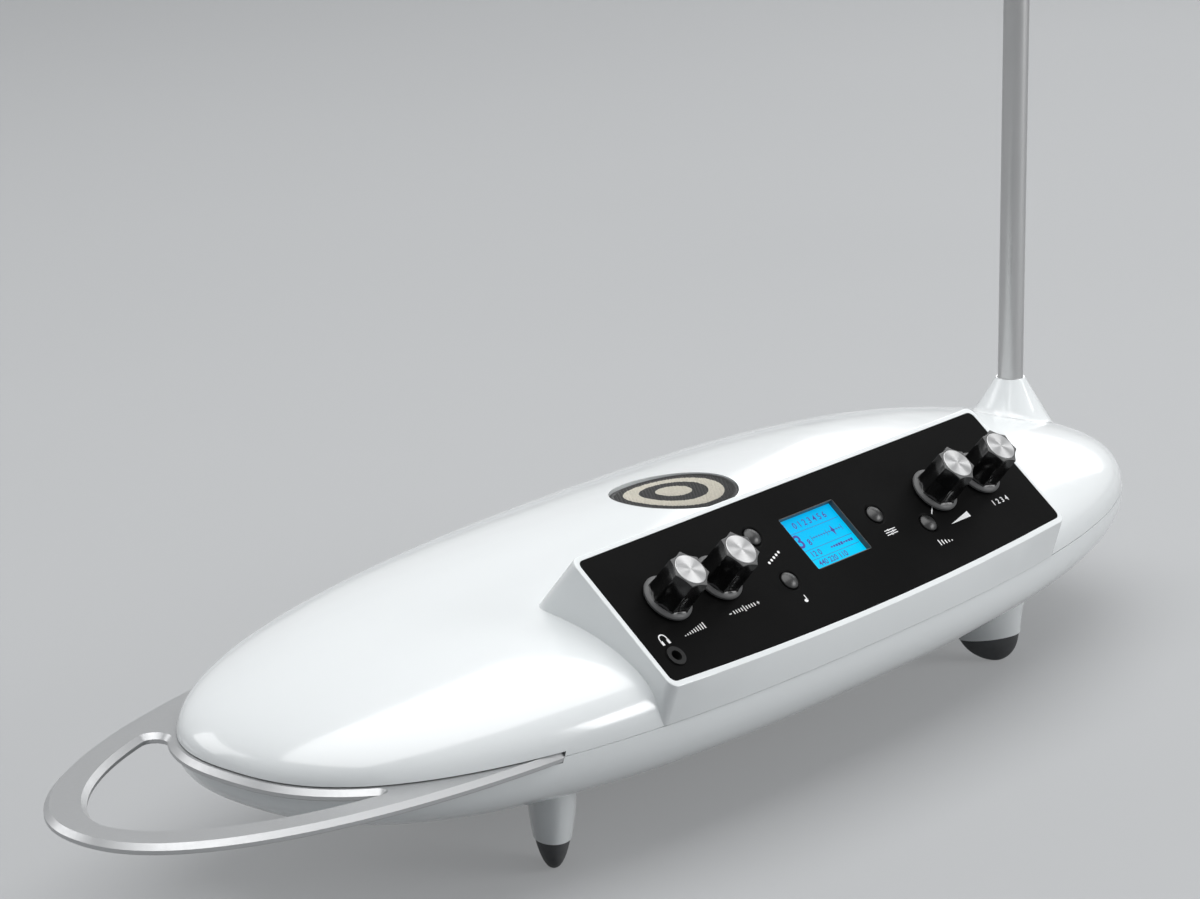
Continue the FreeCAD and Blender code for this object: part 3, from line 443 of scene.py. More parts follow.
def woven_black_and_cream():
    """Lacquered wire: black, with plain rings printed on it in cream."""
    lacquer = grey(0.02)
    cream = (0.66, 0.62, 0.53, 1)
    finish = Finish("woven_wire_lacquer", lacquer)
    tree = finish.tree
    where = place_on(tree, middle=(0, speaker_y, 0), scale=(1, 1, 0))
    distance = add(tree, "ShaderNodeVectorMath", {0: where}, operation="LENGTH").outputs["Value"]
    inside = maths(tree, "LESS_THAN", distance, ring_outer)
    outside = maths(tree, "GREATER_THAN", distance, ring_inner)
    core = maths(tree, "LESS_THAN", distance, ring_core)
    printed = maths(tree, "MAXIMUM", maths(tree, "MULTIPLY", inside, outside), core)
    wear_spots = spread(tree, noise(tree, place_on(tree), 1500), 0.82, 1.0)
    share = maths(tree, "MULTIPLY", printed, wear_spots)
    finish.feed("Base Color", blend_colours(tree, share, lacquer, cream))
    return finish.wear(900, 0.38, 0.5).material


def lit_display():
    """Backlit liquid crystal: cyan with a faint dot grid, and painted shade that dims it towards its top
    edge.
    """
    dot_pitch = mm(0.42)
    gap_share = 0.14
    dark_gap = (0.0, 0.50, 0.86, 1)
    bright = (0.0, 0.66, 1.0, 1)
    painted_shade_cyan = (0.0, 0.42, 0.86, 1)
    no_shade_below = mm(-7)
    full_shade_above = mm(11)
    finish = Finish(
        "lit_display_cyan",
        (0.0, 0.12, 0.22, 1),
        specular_ior_level=0.08,
        roughness=0.45,
        emission_strength=0.8,
    )
    tree = finish.tree
    middle = tuple(panel_matrix(window_u, window_v).translation)
    turn = (-math.atan2(-panel_down.z, -panel_down.y), 0, 0)
    axes = add(tree, "ShaderNodeSeparateXYZ", {0: place_on(tree, middle, turn)}).outputs
    dots = []
    for axis in (0, 1):
        phase = maths(tree, "FRACT", maths(tree, "MULTIPLY", axes[axis], 1 / dot_pitch))
        dots.append(maths(tree, "GREATER_THAN", phase, gap_share))
    dot = maths(tree, "MULTIPLY", dots[0], dots[1])
    # Painted shade: the cyan darkens from below the window's middle towards its top edge
    painted_shade_share = spread(tree, axes[1], 0.0, 1.0, no_shade_below, full_shade_above)
    cyan_with_painted_shade = blend_colours(tree, painted_shade_share, bright, painted_shade_cyan)
    finish.feed("Emission Color", blend_colours(tree, dot, dark_gap, cyan_with_painted_shade))
    return finish.material


def display_ink():
    finish = Finish(
        "display_ink_blue",
        (0.035, 0.03, 0.22, 1),
        roughness=0.3,
        emission_color=(0.05, 0.05, 0.32, 1),
        emission_strength=0.5,
    )
    return finish.tone(2600, 0.4).material


def white_print():
    finish = Finish("screen_print_white", grey(0.9), roughness=0.5)
    return finish.tone(1500, 0.12).grain(5000, mm(0.004)).material


def lining_grey():
    finish = Finish("window_lining_grey", (0.085, 0.08, 0.076, 1))
    return finish.tone(500, 0.2).wear(900, 0.4, 0.5).material


finishes = {
    "white_shell": white_gloss(),
    "black_panel": panel_black(),
    "black_gloss": black_gloss(),
    "knob_black": knob_black(),
    "turned_aluminium": spun_aluminium(),
    "shaft_steel": plain_metal("shaft_steel", grey(0.42), 0.3, 0.4),
    "control_metal": plain_metal("control_can_metal", (0.50, 0.49, 0.46, 1), 0.3, 0.45),
    "satin_plate": satin_plate(),
    "satin_rod": brushed_rod(),
    "brass": plain_metal("brass", (0.62, 0.44, 0.19, 1), 0.29, 0.4),
    "rubber": foot_rubber(),
    "display": lit_display(),
    "black_plastic": black_plastic(),
    "usb_metal": plain_metal("tinned_steel", grey(0.55), 0.29, 0.38),
    "circuit_board": circuit_green(),
    "board_part": part_grey(),
    "grille_metal": woven_black_and_cream(),
    "cone_paper": cone_paper(),
}
ink = display_ink()
print_white = white_print()
felt = felt_black()
lining = lining_grey()

# -------- mesh helpers

slot_of = {part["node"]: part["material_slot"] for part in frame["record"]["subparts"]}

# Distances within which two points are one, in a drawn mesh and in a CAD mesh
same_point = 1e-7
same_cad_point = 2e-6


def link(name, mesh, slot, replaced=None, body="housing", finish=None):
    """Makes a piece of a mesh that is already in its place, with its slot's finish or its own."""
    mesh.materials.clear()
    mesh.materials.append(finish or finishes[slot])
    piece = in_scene(name, mesh)
    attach(piece, body)
    if replaced:
        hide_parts(replaced)


def smooth(mesh, angle):
    mesh.shade_smooth()
    mesh.set_sharp_from_angle(angle=math.radians(angle))


def mesh_of(name, points, faces, matrix=None, angle=30.0):
    """Mesh from points and faces, put in place by a matrix, its curves shaded smooth."""
    mesh = bpy.data.meshes.new(name)
    mesh.from_pydata([tuple(point) for point in points], [], faces)
    if matrix is not None:
        mesh.transform(matrix)
    form = bmesh.new()
    form.from_mesh(mesh)
    bmesh.ops.remove_doubles(form, verts=form.verts, dist=same_point)
    bmesh.ops.recalc_face_normals(form, faces=form.faces)
    form.to_mesh(mesh)
    form.free()
    smooth(mesh, angle)
    return mesh


def welded_copy(node):
    """Copy of a CAD node's mesh with its loose triangles joined."""
    mesh = bpy.data.meshes.new(node)
    form = bmesh.new()
    form.from_mesh(frame["nodes"][node].data)
    bmesh.ops.remove_doubles(form, verts=form.verts, dist=same_cad_point)
    form.to_mesh(mesh)
    form.free()
    if "custom_normal" in mesh.attributes:
        mesh.attributes.remove(mesh.attributes["custom_normal"])
    return mesh


def lathe(profile, columns, radius_at=None):
    """Points and faces of a form turned about Z.

    The profile holds (radius, height, share) rows, or pairs, each joined to the next.
    Where radius_at is given, it bends a row's radius by the turn and the row's share.
    """
    points = []
    for row in profile:
        for column in range(columns):
            turn = 2 * math.pi * column / columns
            radius = row[0] if radius_at is None else radius_at(row[0], turn, row[2])
            points.append((radius * math.cos(turn), radius * math.sin(turn), row[1]))
    faces = []
    for row in range(len(profile) - 1):
        for column in range(columns):
            beside = (column + 1) % columns
            low = row * columns
            high = low + columns
            faces.append((low + column, low + beside, high + beside, high + column))
    faces.append(tuple(reversed(range(columns))))
    last = (len(profile) - 1) * columns
    faces.append(tuple(range(last, last + columns)))
    return points, faces


# -------- shells

# Rule of each half shell: height, powers, way from the seam and shift of its pole
dome_rule = (dome_height, dome_powers, 1, crown_shift)
bowl_rule = (seam_z, bowl_powers, -1, 0.0)

# A face belongs to the skin if its corners lie this near and it points almost the same way
skin_reach = mm(0.45)
skin_agreement = 0.95
short_of_pole = 0.999


def skin_field(points, height, powers, direction, shift):
    """How far each point lies outside a half shell, by its rule, before scaling."""
    rise = np.clip(direction * (points[:, 2] - seam_z) / height, 0.0, short_of_pole)
    share = (1 - rise ** powers[1]) ** (1 / powers[0])
    along = np.abs(points[:, 0] - shift * (1 - share)) / half_length
    across = np.abs(points[:, 1]) / half_depth
    ring = (along ** plan_power + across ** plan_power) ** (1 / plan_power)
    return ring ** powers[0] + rise ** powers[1] - 1


def skin_normals(points, *rule):
    """Distance from the skin, and the skin's direction, at each point."""
    step = mm(0.05)
    slopes = np.empty_like(points)
    for axis in range(3):
        nudge = np.zeros(3)
        nudge[axis] = step
        climb = skin_field(points + nudge, *rule) - skin_field(points - nudge, *rule)
        slopes[:, axis] = climb / (2 * step)
    steepness = np.linalg.norm(slopes, axis=1) + 1e-9
    return skin_field(points, *rule) / steepness, slopes / steepness[:, None]


def numbers(rows, field, width=1, kind=float):
    """One field of all the points, faces or corners of a mesh, as an array."""
    values = np.empty(len(rows) * width, kind)
    rows.foreach_get(field, values)
    return values.reshape(-1, width) if width > 1 else values


def shell(node, name, rule):
    """A shell's own mesh, its skin shaded by the rule it was drawn with."""
    mesh = welded_copy(node)
    smooth(mesh, angle=28.0)
    distance, normals = skin_normals(numbers(mesh.vertices, "co", 3), *rule)
    corner_points = numbers(mesh.loops, "vertex_index", kind=int)
    starts = numbers(mesh.polygons, "loop_start", kind=int)
    totals = numbers(mesh.polygons, "loop_total", kind=int)
    corner_faces = np.repeat(np.arange(len(totals)), totals)
    face_normals = numbers(mesh.polygons, "normal", 3)[corner_faces]
    corner_normals = numbers(mesh.corner_normals, "vector", 3)
    skin = normals[corner_points]
    near = np.abs(distance[corner_points]) < skin_reach
    aligned = (face_normals * skin).sum(1) > skin_agreement
    whole = np.minimum.reduceat((near & aligned).astype(int), starts).astype(bool)[corner_faces]
    corner_normals[whole] = skin[whole]
    mesh.normals_split_custom_set([tuple(normal) for normal in corner_normals])
    link(name, mesh, "white_shell", node)


shell("top_shell", "upper_body", dome_rule)
shell("bottom_shell", "lower_body", bowl_rule)

# -------- volume plate

plate_bevel = mm(1.6)
plate_low_bevel = mm(0.3)
drawn_bevel = mm(1.0)

# Upright share of the direction that the faces of a 45 degree bevel point in
bevel_slopes = (0.6, 0.8)


def bevelled_plate():
    """The flat plate with a broad bevel above and a narrow one below."""
    mesh = welded_copy("volume_antenna")
    heights = [vertex.co.z for vertex in mesh.vertices]
    low_z, high_z = min(heights), max(heights)
    drawn = (low_z, low_z + drawn_bevel, high_z - drawn_bevel, high_z)
    wanted = (low_z, low_z + plate_low_bevel, high_z - plate_bevel, high_z)
    outward = [Vector((0, 0, 0)) for _ in mesh.vertices]
    for polygon in mesh.polygons:
        if bevel_slopes[0] < abs(polygon.normal.z) < bevel_slopes[1]:
            level = Vector((polygon.normal.x, polygon.normal.y, 0)).normalized()
            for vertex in polygon.vertices:
                outward[vertex] += level * polygon.area
    for vertex in mesh.vertices:
        height = vertex.co.z
        vertex.co.z = float(np.interp(height, drawn, wanted))
        if outward[vertex.index].length > 0:
            above = max(0.0, height - drawn[2]) / drawn_bevel
            below = max(0.0, drawn[1] - height) / drawn_bevel
            inset = above * (plate_bevel - drawn_bevel) + below * (plate_low_bevel - drawn_bevel)
            vertex.co -= outward[vertex.index].normalized() * inset
    smooth(mesh, angle=20.0)
    link("volume_plate_bevelled", mesh, "satin_plate", "volume_antenna")


bevelled_plate()

# -------- pieces kept from the CAD

# CAD pieces whose curves are shaded smooth, and the angle past which an edge stays sharp
smoothed_pieces = (
    "pitch_antenna_lower", "pitch_antenna_upper", "antenna_socket", "headphone_jack", "jack_nuts",
    "power_inlet", "power_button", "audio_jack_left", "audio_jack_right", "pitch_voltage_jack",
    "speaker_frame", "speaker_cone", "stand_insert",
)
crease_angles = dict.fromkeys(smoothed_pieces, 30.0)
crease_angles.update({"jack_nuts": 25.0, "power_button": 40.0})
for corner_name in ("front_left", "front_right", "rear_left", "rear_right"):
    crease_angles[corner_name + "_foot"] = 35.0

for node_name, crease_angle in crease_angles.items():
    copied = welded_copy(node_name)
    smooth(copied, crease_angle)
    own_body = frame["nodes"][node_name]["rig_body"]
    link(node_name + "_smooth", copied, slot_of[node_name], node_name, body=own_body)

# -------- knobs


def scalloped(radius, turn, share):
    """Radius of a knob's section: hollows between seven ridges."""
    pitch = 2 * math.pi / knob_lobes
    off = (turn + pitch / 2) % pitch - pitch / 2
    reach = radius * knob_valley / knob_ridge + knob_scallop
    hollow = reach * math.cos(off) - math.sqrt(knob_scallop ** 2 - (reach * math.sin(off)) ** 2)
    joined = math.exp(-hollow / knob_softness) + math.exp(-radius / knob_softness)
    lower = -knob_softness * math.log(joined)
    return radius + (lower - radius) * share


knob_profile = [
    (knob_base, mm(2.9), 0),
    (knob_base, mm(0.65), 0),
    (knob_skirt - mm(0.2), mm(0.6), 0),
    (knob_skirt, mm(0.75), 0),
    (knob_skirt, mm(1.35), 0),
    (knob_skirt - mm(0.2), mm(1.6), 0),
    (knob_ridge + mm(0.5), mm(2.0), 0),
    (knob_ridge + mm(0.35), mm(2.15), 0.3),
    (knob_ridge + mm(0.25), mm(2.4), 0.8),
    (knob_ridge + mm(0.2), mm(3.0), 1),
    (knob_ridge + mm(0.1), mm(8.0), 1),
    (knob_ridge, knob_height - mm(0.55), 1),
    (knob_ridge - mm(0.12), knob_height - mm(0.2), 1),
    (knob_ridge - mm(0.4), knob_height - mm(0.02), 1),
    (knob_ridge - mm(0.6), knob_height, 1),
    (knob_cap_radius + mm(0.1), knob_height, 0),
    (knob_cap_radius + mm(0.03), knob_height - mm(0.1), 0),
    (knob_cap_radius + mm(0.03), knob_height - mm(0.6), 0),
]
cap_profile = [
    (knob_cap_radius, knob_height - mm(0.6)),
    (knob_cap_radius, knob_height + mm(0.02)),
    (knob_cap_radius - mm(0.12), knob_height + mm(0.12)),
    (knob_cap_radius * 0.7, knob_height + mm(0.16)),
    (knob_cap_radius * 0.35, knob_height + mm(0.18)),
    (mm(0.02), knob_height + mm(0.19)),
]


def ring_map(mesh, centre):
    """UV map with the turn along U and the distance from the centre along V."""
    up = panel_out.cross(panel_right)
    uv = mesh.uv_layers.new(name="rings")
    for polygon in mesh.polygons:
        offsets = [mesh.vertices[point].co - centre for point in polygon.vertices]
        angles = [math.atan2(offset.dot(up), offset.dot(panel_right)) for offset in offsets]
        turns = [angle / (2 * math.pi) % 1.0 for angle in angles]
        wraps = max(turns) - min(turns) > 0.5
        for corner, offset, turn in zip(polygon.loop_indices, offsets, turns):
            flat = offset - panel_out * offset.dot(panel_out)
            around = turn + 1.0 if wraps and turn < 0.5 else turn
            uv.data[corner].uv = (around, flat.length / knob_cap_radius)


def make_knob(name, centre):
    """Fluted knob and the spun cap let into its top."""
    seat = Matrix.Translation(centre) @ panel_matrix().to_3x3().to_4x4()
    node = name + "_knob"
    points, faces = lathe(knob_profile, knob_lobes * 24, scalloped)
    mesh = mesh_of(node, points, faces, seat, angle=38.0)
    link(node + "_fluted", mesh, "black_gloss", node, body=node, finish=finishes["knob_black"])
    points, faces = lathe(cap_profile, 96)
    mesh = mesh_of(name + "_cap", points, faces, seat, angle=25.0)
    ring_map(mesh, centre)
    link(name + "_cap_spun", mesh, "turned_aluminium", node + "_cap", body=node)


for knob_name, knob_centre in knob_places.items():
    make_knob(knob_name, knob_centre)

# -------- shell screws

screw_places = [(end_screw_x, side * right_screw_y) for side in (1, -1)]
screw_places += [(-end_screw_x, side * left_screw_y) for side in (1, -1)]
screw_places += [(side * rear_screw_x, rear_screw_y) for side in (1, -1)]
screw_profile = [
    (screw_head_radius, mm(-1.1), 0),
    (screw_head_radius, mm(0.2), 0),
    (screw_head_radius - mm(0.3), mm(0.5), 0),
    (mm(1.9), mm(0.75), 0),
    (screw_cross_radius, mm(0.8), 1),
    (mm(1.3), mm(-0.2), 1),
    (mm(0.3), mm(-0.4), 1),
]


def bowl_z(x, y):
    """Height of the lower shell's skin."""
    along = abs(x) / half_length
    across = abs(y) / half_depth
    share = (along ** plan_power + across ** plan_power) ** (1 / plan_power)
    return seam_z * (1 - (1 - share ** bowl_powers[0]) ** (1 / bowl_powers[1]))


def crossed(radius, turn, share):
    """Radius of the driver's recess: a cross with four arms."""
    waist = 0.4
    arm = abs(math.cos(2 * turn)) ** 3
    cross = radius * (waist + (1 - waist) * arm)
    return radius + (cross - radius) * share


def shell_screws():
    """Domed heads: at the ends they lie on the skin, at the rear in their bores."""
    head = lathe(screw_profile, 48, crossed)
    shank = lathe([(screw_radius, screw_shank_low), (screw_radius, screw_shank_high)], 24)
    points = []
    faces = []
    for x, y in screw_places:
        seat = Vector((x, y, bowl_z(x, y)))
        out = Vector(skin_normals(np.array([seat]), *bowl_rule)[1][0])
        if abs(x) < end_screw_x:
            seat.z = screw_bore_z
            out = Vector((0, 0, -1))
        upright = Matrix.Translation(seat)
        turned = upright @ out.to_track_quat("Z", "Y").to_matrix().to_4x4()
        for (form_points, form_faces), matrix in ((head, turned), (shank, upright)):
            first = len(points)
            points += [matrix @ Vector(point) for point in form_points]
            faces += [tuple(first + corner for corner in face) for face in form_faces]
    mesh = mesh_of("shell_screws_domed", points, faces, angle=35.0)
    link("shell_screws_domed", mesh, slot_of["shell_screws"], "shell_screws")


shell_screws()

# -------- buttons


def make_button(name, u, v):
    """Push button: a shallow part of a ball on a straight edge, flange and stem."""
    ball = (button_radius ** 2 + button_crown ** 2) / (2 * button_crown)
    widest = math.asin(button_radius / ball)
    profile = [
        (button_stem, button_stem_low),
        (button_stem, button_flange_low),
        (button_flange, button_flange_low),
        (button_flange, button_flange_high),
        (button_radius, button_flange_high),
        (button_radius, button_edge),
    ]
    rows = 14
    for row in range(rows):
        lean = widest * (1 - row / rows)
        profile.append((ball * math.sin(lean), ball * math.cos(lean) - ball + button_crown))
    profile.append((mm(0.02), button_crown))
    points, faces = lathe(profile, 72)
    mesh = mesh_of(name, points, faces, panel_matrix(u, v), angle=60.0)
    link(name + "_domed", mesh, "black_gloss", name, body=name)


for button_name, button_place in button_places.items():
    make_button(button_name, *button_place)

# -------- geometry nodes


def new_tree(name, sizes):
    """Geometry Nodes tree with one named number for each size, and its sockets by name."""
    tree = bpy.data.node_groups.new(name, "GeometryNodeTree")
    for size in sizes:
        tree.interface.new_socket(size, in_out="INPUT", socket_type="NodeSocketFloat")
    tree.interface.new_socket("Geometry", in_out="OUTPUT", socket_type="NodeSocketGeometry")
    given = tree.nodes.new("NodeGroupInput")
    return tree, {size: given.outputs[size] for size in sizes}


def finish_tree(tree, geometry, material):
    """Every tree ends with real meshes that carry their finish."""
    real = add(tree, "GeometryNodeRealizeInstances", {"Geometry": geometry}).outputs[0]
    dressed = add(tree, "GeometryNodeSetMaterial", {"Geometry": real, "Material": material}).outputs[0]
    out = tree.nodes.new("NodeGroupOutput")
    tree.links.new(dressed, out.inputs[0])


def plain_mesh(carrier):
    """Turns an object, with its modifiers, into a plain mesh. The object goes."""
    bpy.context.view_layer.update()
    evaluated = carrier.evaluated_get(bpy.context.evaluated_depsgraph_get())
    mesh = bpy.data.meshes.new_from_object(evaluated)
    carrier.modifiers.clear()
    bpy.data.objects.remove(carrier)
    return mesh


def grown(name, tree, sizes):
    """Runs a tree with its sizes set and gives the result as a plain mesh."""
    carrier = in_scene(name, bpy.data.meshes.new(name))
    modifier = carrier.modifiers.new("grow", "NODES")
    modifier.node_group = tree
    for socket in tree.interface.items_tree:
        if socket.in_out == "INPUT":
            modifier[socket.identifier] = float(sizes[socket.name])
    carrier.update_tag()
    return plain_mesh(carrier)


# -------- grille


def dome_z(x, y):
    """Height of the body's skin near the crown.

    The outline's shift grows with its height, so a few rounds settle the two.
    """
    share = 0.0
    for _ in range(4):
        along = abs(x - crown_shift * (1 - share)) / half_length
        across = abs(y) / half_depth
        share = (along ** plan_power + across ** plan_power) ** (1 / plan_power)
    return seam_z + dome_height * (1 - share ** dome_powers[0]) ** (1 / dome_powers[1])


def crown_sizes():
    """Level, slopes and bend of the seat sunk in the crown over the loudspeaker."""
    front = dome_z(0, speaker_y - grille_radius)
    rear = dome_z(0, speaker_y + grille_radius)
    left = dome_z(-grille_radius, speaker_y)
    right = dome_z(grille_radius, speaker_y)
    level = dome_z(0, speaker_y)
    return {
        "Level": level - grille_sink,
        "Slope X": (right - left) / (2 * grille_radius),
        "Slope Y": (rear - grille_rear_drop - front) / (2 * grille_radius),
        "Bend": (level - (front + rear - grille_rear_drop) / 2) / grille_radius ** 2,
    }


crown = crown_sizes()


def crown_z(x, y):
    """Same bend as the grille's seat, for a point at x, y from the grille's centre."""
    return crown["Level"] + crown["Slope X"] * x + crown["Slope Y"] * y - crown["Bend"] * y * y


def on_crown(points):
    """Moves a form drawn about the origin onto the grille's seat, and bends it."""
    return [(x, y + speaker_y, z + crown_z(x, y)) for x, y, z in points]


def weave_tree(material):
    """Plain weave of fine wires, trimmed to a disc and bent like the crown."""
    sizes = ("Radius", "Pitch", "Wire", "Centre Y", "Level", "Slope X", "Slope Y", "Bend")
    tree, size = new_tree("plain_weave", sizes)
    plus = partial(maths, tree, "ADD")
    minus = partial(maths, tree, "SUBTRACT")
    times = partial(maths, tree, "MULTIPLY")
    over = partial(maths, tree, "DIVIDE")
    count = maths(tree, "FLOOR", over(times(size["Radius"], 2.0), size["Pitch"]))
    start = times(times(minus(count, 1.0), size["Pitch"]), -0.5)
    steps = times(count, 2.0)
    ends = (times(size["Radius"], -1.0), size["Radius"])
    strands = []
    for axis, rise in ((0, weave_rise_share), (1, -weave_rise_share)):
        row = {"Start Location": start, "Offset": size["Pitch"]}
        row = {socket: vector(tree, {axis: value}) for socket, value in row.items()}
        spots = add(tree, "GeometryNodeMeshLine", {"Count": count, **row}).outputs[0]
        first, last = (vector(tree, {1 - axis: end}) for end in ends)
        line = add(tree, "GeometryNodeCurvePrimitiveLine", {"Start": first, "End": last}).outputs[0]
        line = add(tree, "GeometryNodeResampleCurve", {"Curve": line, "Count": steps}).outputs[0]
        set_out = add(tree, "GeometryNodeInstanceOnPoints", {"Points": spots, "Instance": line})
        real = add(tree, "GeometryNodeRealizeInstances", {"Geometry": set_out.outputs[0]}).outputs[0]
        place = add(tree, "ShaderNodeSeparateXYZ", {0: add(tree, "GeometryNodeInputPosition").outputs[0]})
        across = place.outputs[axis]
        ratio = over(across, size["Radius"])
        trim = maths(tree, "SQRT", minus(1.0, times(ratio, ratio)))
        along = times(place.outputs[1 - axis], trim)
        x, y = (across, along) if axis == 0 else (along, across)
        waves = []
        for value in (x, y):
            turns = over(minus(value, start), size["Pitch"])
            waves.append(maths(tree, "COSINE", times(turns, math.pi)))
        height = times(times(waves[0], waves[1]), times(size["Wire"], rise))
        height = plus(height, size["Level"])
        height = plus(height, times(x, size["Slope X"]))
        height = plus(height, times(y, size["Slope Y"]))
        height = minus(height, times(times(y, y), size["Bend"]))
        target = vector(tree, {0: x, 1: plus(y, size["Centre Y"]), 2: height})
        bent = add(tree, "GeometryNodeSetPosition", {"Geometry": real, "Position": target})
        strands.append(bent.outputs[0])
    joined = tree.nodes.new("GeometryNodeJoinGeometry")
    for strand in strands:
        tree.links.new(strand, joined.inputs[0])
    section_inputs = {"Resolution": wire_corners, "Radius": size["Wire"]}
    section = add(tree, "GeometryNodeCurvePrimitiveCircle", section_inputs)
    inputs = {"Curve": joined.outputs[0], "Profile Curve": section.outputs[0], "Fill Caps": True}
    wires = add(tree, "GeometryNodeCurveToMesh", inputs).outputs[0]
    smooth_wires = add(tree, "GeometryNodeSetShadeSmooth", {"Geometry": wires}).outputs[0]
    finish_tree(tree, smooth_wires, material)
    return tree


def make_grille():
    """Woven disc in a rim, with felt under it."""
    weave_sizes = crown | {"Radius": weave_radius, "Pitch": weave_pitch, "Wire": weave_wire}
    weave_sizes["Level"] -= weave_drop
    weave_sizes["Centre Y"] = speaker_y
    tree = weave_tree(finishes["grille_metal"])
    link("grille_weave", grown("grille_weave", tree, weave_sizes), "grille_metal", "speaker_grille")
    rim_profile = [
        (grille_radius - grille_rim, rim_foot),
        (grille_radius, rim_foot),
        (grille_radius, mm(-0.1)),
        (grille_radius - mm(0.15), mm(0.08)),
        (grille_radius - mm(0.5), mm(0.16)),
        (grille_radius - grille_rim + mm(0.4), mm(0.1)),
        (grille_radius - grille_rim, mm(-0.15)),
        (grille_radius - grille_rim, rim_foot),
    ]
    columns = 120
    points, faces = lathe(rim_profile, columns)
    mesh = mesh_of("grille_rim", on_crown(points), faces[:-2], angle=50.0)
    link("grille_rim", mesh, "grille_metal", finish=finishes["black_plastic"])
    rings = 10
    felt_profile = [(felt_radius, -felt_foot)]
    felt_profile += [(felt_radius * ring / rings, -felt_drop) for ring in range(rings, 0, -1)]
    felt_profile.append((mm(0.1), -felt_drop))
    points, faces = lathe(felt_profile, columns)
    link("grille_felt", mesh_of("grille_felt", on_crown(points), faces), "grille_metal", finish=felt)


make_grille()

# -------- prints on the panel

# Where the signs stand, as (u, v), how tall they are and how wide their lines
sign_places = {
    "headphones": (mm(-93.7), mm(33.3)),
    "volume": (mm(-79.9), mm(34.0)),
    "pitch_bias": (mm(-55.3), mm(34.0)),
    "scale_button": (mm(-32.0), mm(23.3)),
    "root_button": (mm(-29.6), mm(39.5)),
    "setup_button": (mm(26.0), mm(28.2)),
    "delay_button": (mm(45.0), mm(39.0)),
    "amount": (mm(53.2), mm(34.7)),
    "preset": (mm(82.3), mm(33.6)),
}
tall_sign = mm(2.2)
fine_line = mm(0.35)
broad_line = mm(0.45)

# What a print lies on: its ink, its height over the panel's face and its slot
on_panel = {"material": print_white, "h": 0.0, "slot": "black_panel"}
on_glass = {"material": ink, "h": glass_h, "slot": "display"}


def printed(name, outlines, material, h, slot):
    """Flat marks on the panel, each outline a list of (u, v) corners, as one piece."""
    points = []
    faces = []
    for outline in outlines:
        first = len(points)
        count = len(outline)
        for level in (h, h + print_height):
            for u, v in outline:
                points.append((u, -v, level))
        faces.append(tuple(range(first, first + count)))
        faces.append(tuple(range(first + count, first + 2 * count)))
        for k in range(count):
            beside = (k + 1) % count
            faces.append((first + k, first + beside, first + count + beside, first + count + k))
    link(name, mesh_of(name, points, faces, panel_matrix()), slot, finish=material)


def bar(u, v, width, height):
    left, right = u - width / 2, u + width / 2
    top, foot = v - height / 2, v + height / 2
    return [(left, top), (right, top), (right, foot), (left, foot)]


def stroke(start, end, width):
    """Bar between two places."""
    along = Vector((end[0] - start[0], end[1] - start[1])).normalized()
    side = Vector((-along.y, along.x)) * width / 2
    return [
        (start[0] + side.x, start[1] + side.y),
        (end[0] + side.x, end[1] + side.y),
        (end[0] - side.x, end[1] - side.y),
        (start[0] - side.x, start[1] - side.y),
    ]


def spot(u, v, radius, stretch=1.0, corners=20):
    """Disc, stretched along the slope."""
    outline = []
    for k in range(corners):
        turn = 2 * math.pi * k / corners
        outline.append((u + radius * math.cos(turn), v + radius * stretch * math.sin(turn)))
    return outline


def arc(u, v, radius, width, start, end, steps=14):
    """Part of a ring, angles in degrees from +u towards up the slope."""
    turns = [math.radians(start + (end - start) * k / steps) for k in range(steps + 1)]
    edges = []
    for reach in (radius + width / 2, radius - width / 2):
        edges.append([(u + reach * math.cos(turn), v - reach * math.sin(turn)) for turn in turns])
    return edges[0] + edges[1][::-1]


def rising_bars(u, v, count, pitch, width, low, high):
    """Row of bars that grow from low to high, standing on one line."""
    bars = []
    for k in range(count):
        height = low + (high - low) * k / (count - 1)
        bars.append(bar(u + pitch * (k - (count - 1) / 2), v + high / 2 - height / 2, width, height))
    return bars


def headphone_sign(u, v):
    """Bow with a pad at each end."""
    bow = mm(1.5)
    width = mm(0.42)
    marks = [arc(u, v - mm(0.2), bow, width, 0, 180)]
    for side in (-1, 1):
        marks.append(bar(u + side * bow, v + mm(0.2), width, mm(0.9)))
        marks.append(bar(u + side * mm(1.35), v + mm(1.1), mm(1.0), mm(1.6)))
    return marks


def scale_sign(u, v):
    """Scale with a tall mark in its middle, from minus to plus."""
    reach = mm(6.8)
    marks = []
    for k in range(-4, 5):
        marks.append(bar(u + k * mm(1.25), v, broad_line, tall_sign if k == 0 else mm(1.2)))
    marks.append(bar(u - reach, v, mm(1.1), fine_line))
    marks.append(bar(u + reach, v, mm(1.1), fine_line))
    marks.append(bar(u + reach, v, fine_line, mm(1.1)))
    return marks


def climbing_dots(u, v):
    return [spot(u + k * mm(1.7), v - k * mm(0.55), mm(0.5)) for k in range(5)]


def note_sign(u, v):
    """Head and stem of a written note."""
    return [spot(u, v, mm(0.85), 0.72), bar(u + mm(0.65), v - mm(0.9), fine_line, tall_sign)]


def sliders_sign(u, v):
    """Three lines, each with a slider at its own place."""
    marks = []
    for k, shift in enumerate((mm(-0.9), mm(1.1), mm(-0.2))):
        line_v = v + k * mm(0.85)
        marks.append(bar(u, line_v, mm(5.6), mm(0.28)))
        marks.append(bar(u + shift, line_v, mm(0.7), mm(0.72)))
    return marks


def wedge_sign(u, v):
    """Wedge that grows to the right from u, its foot at v."""
    end = u + mm(11.0)
    return [(u, v), (end, v), (end, v - tall_sign)]


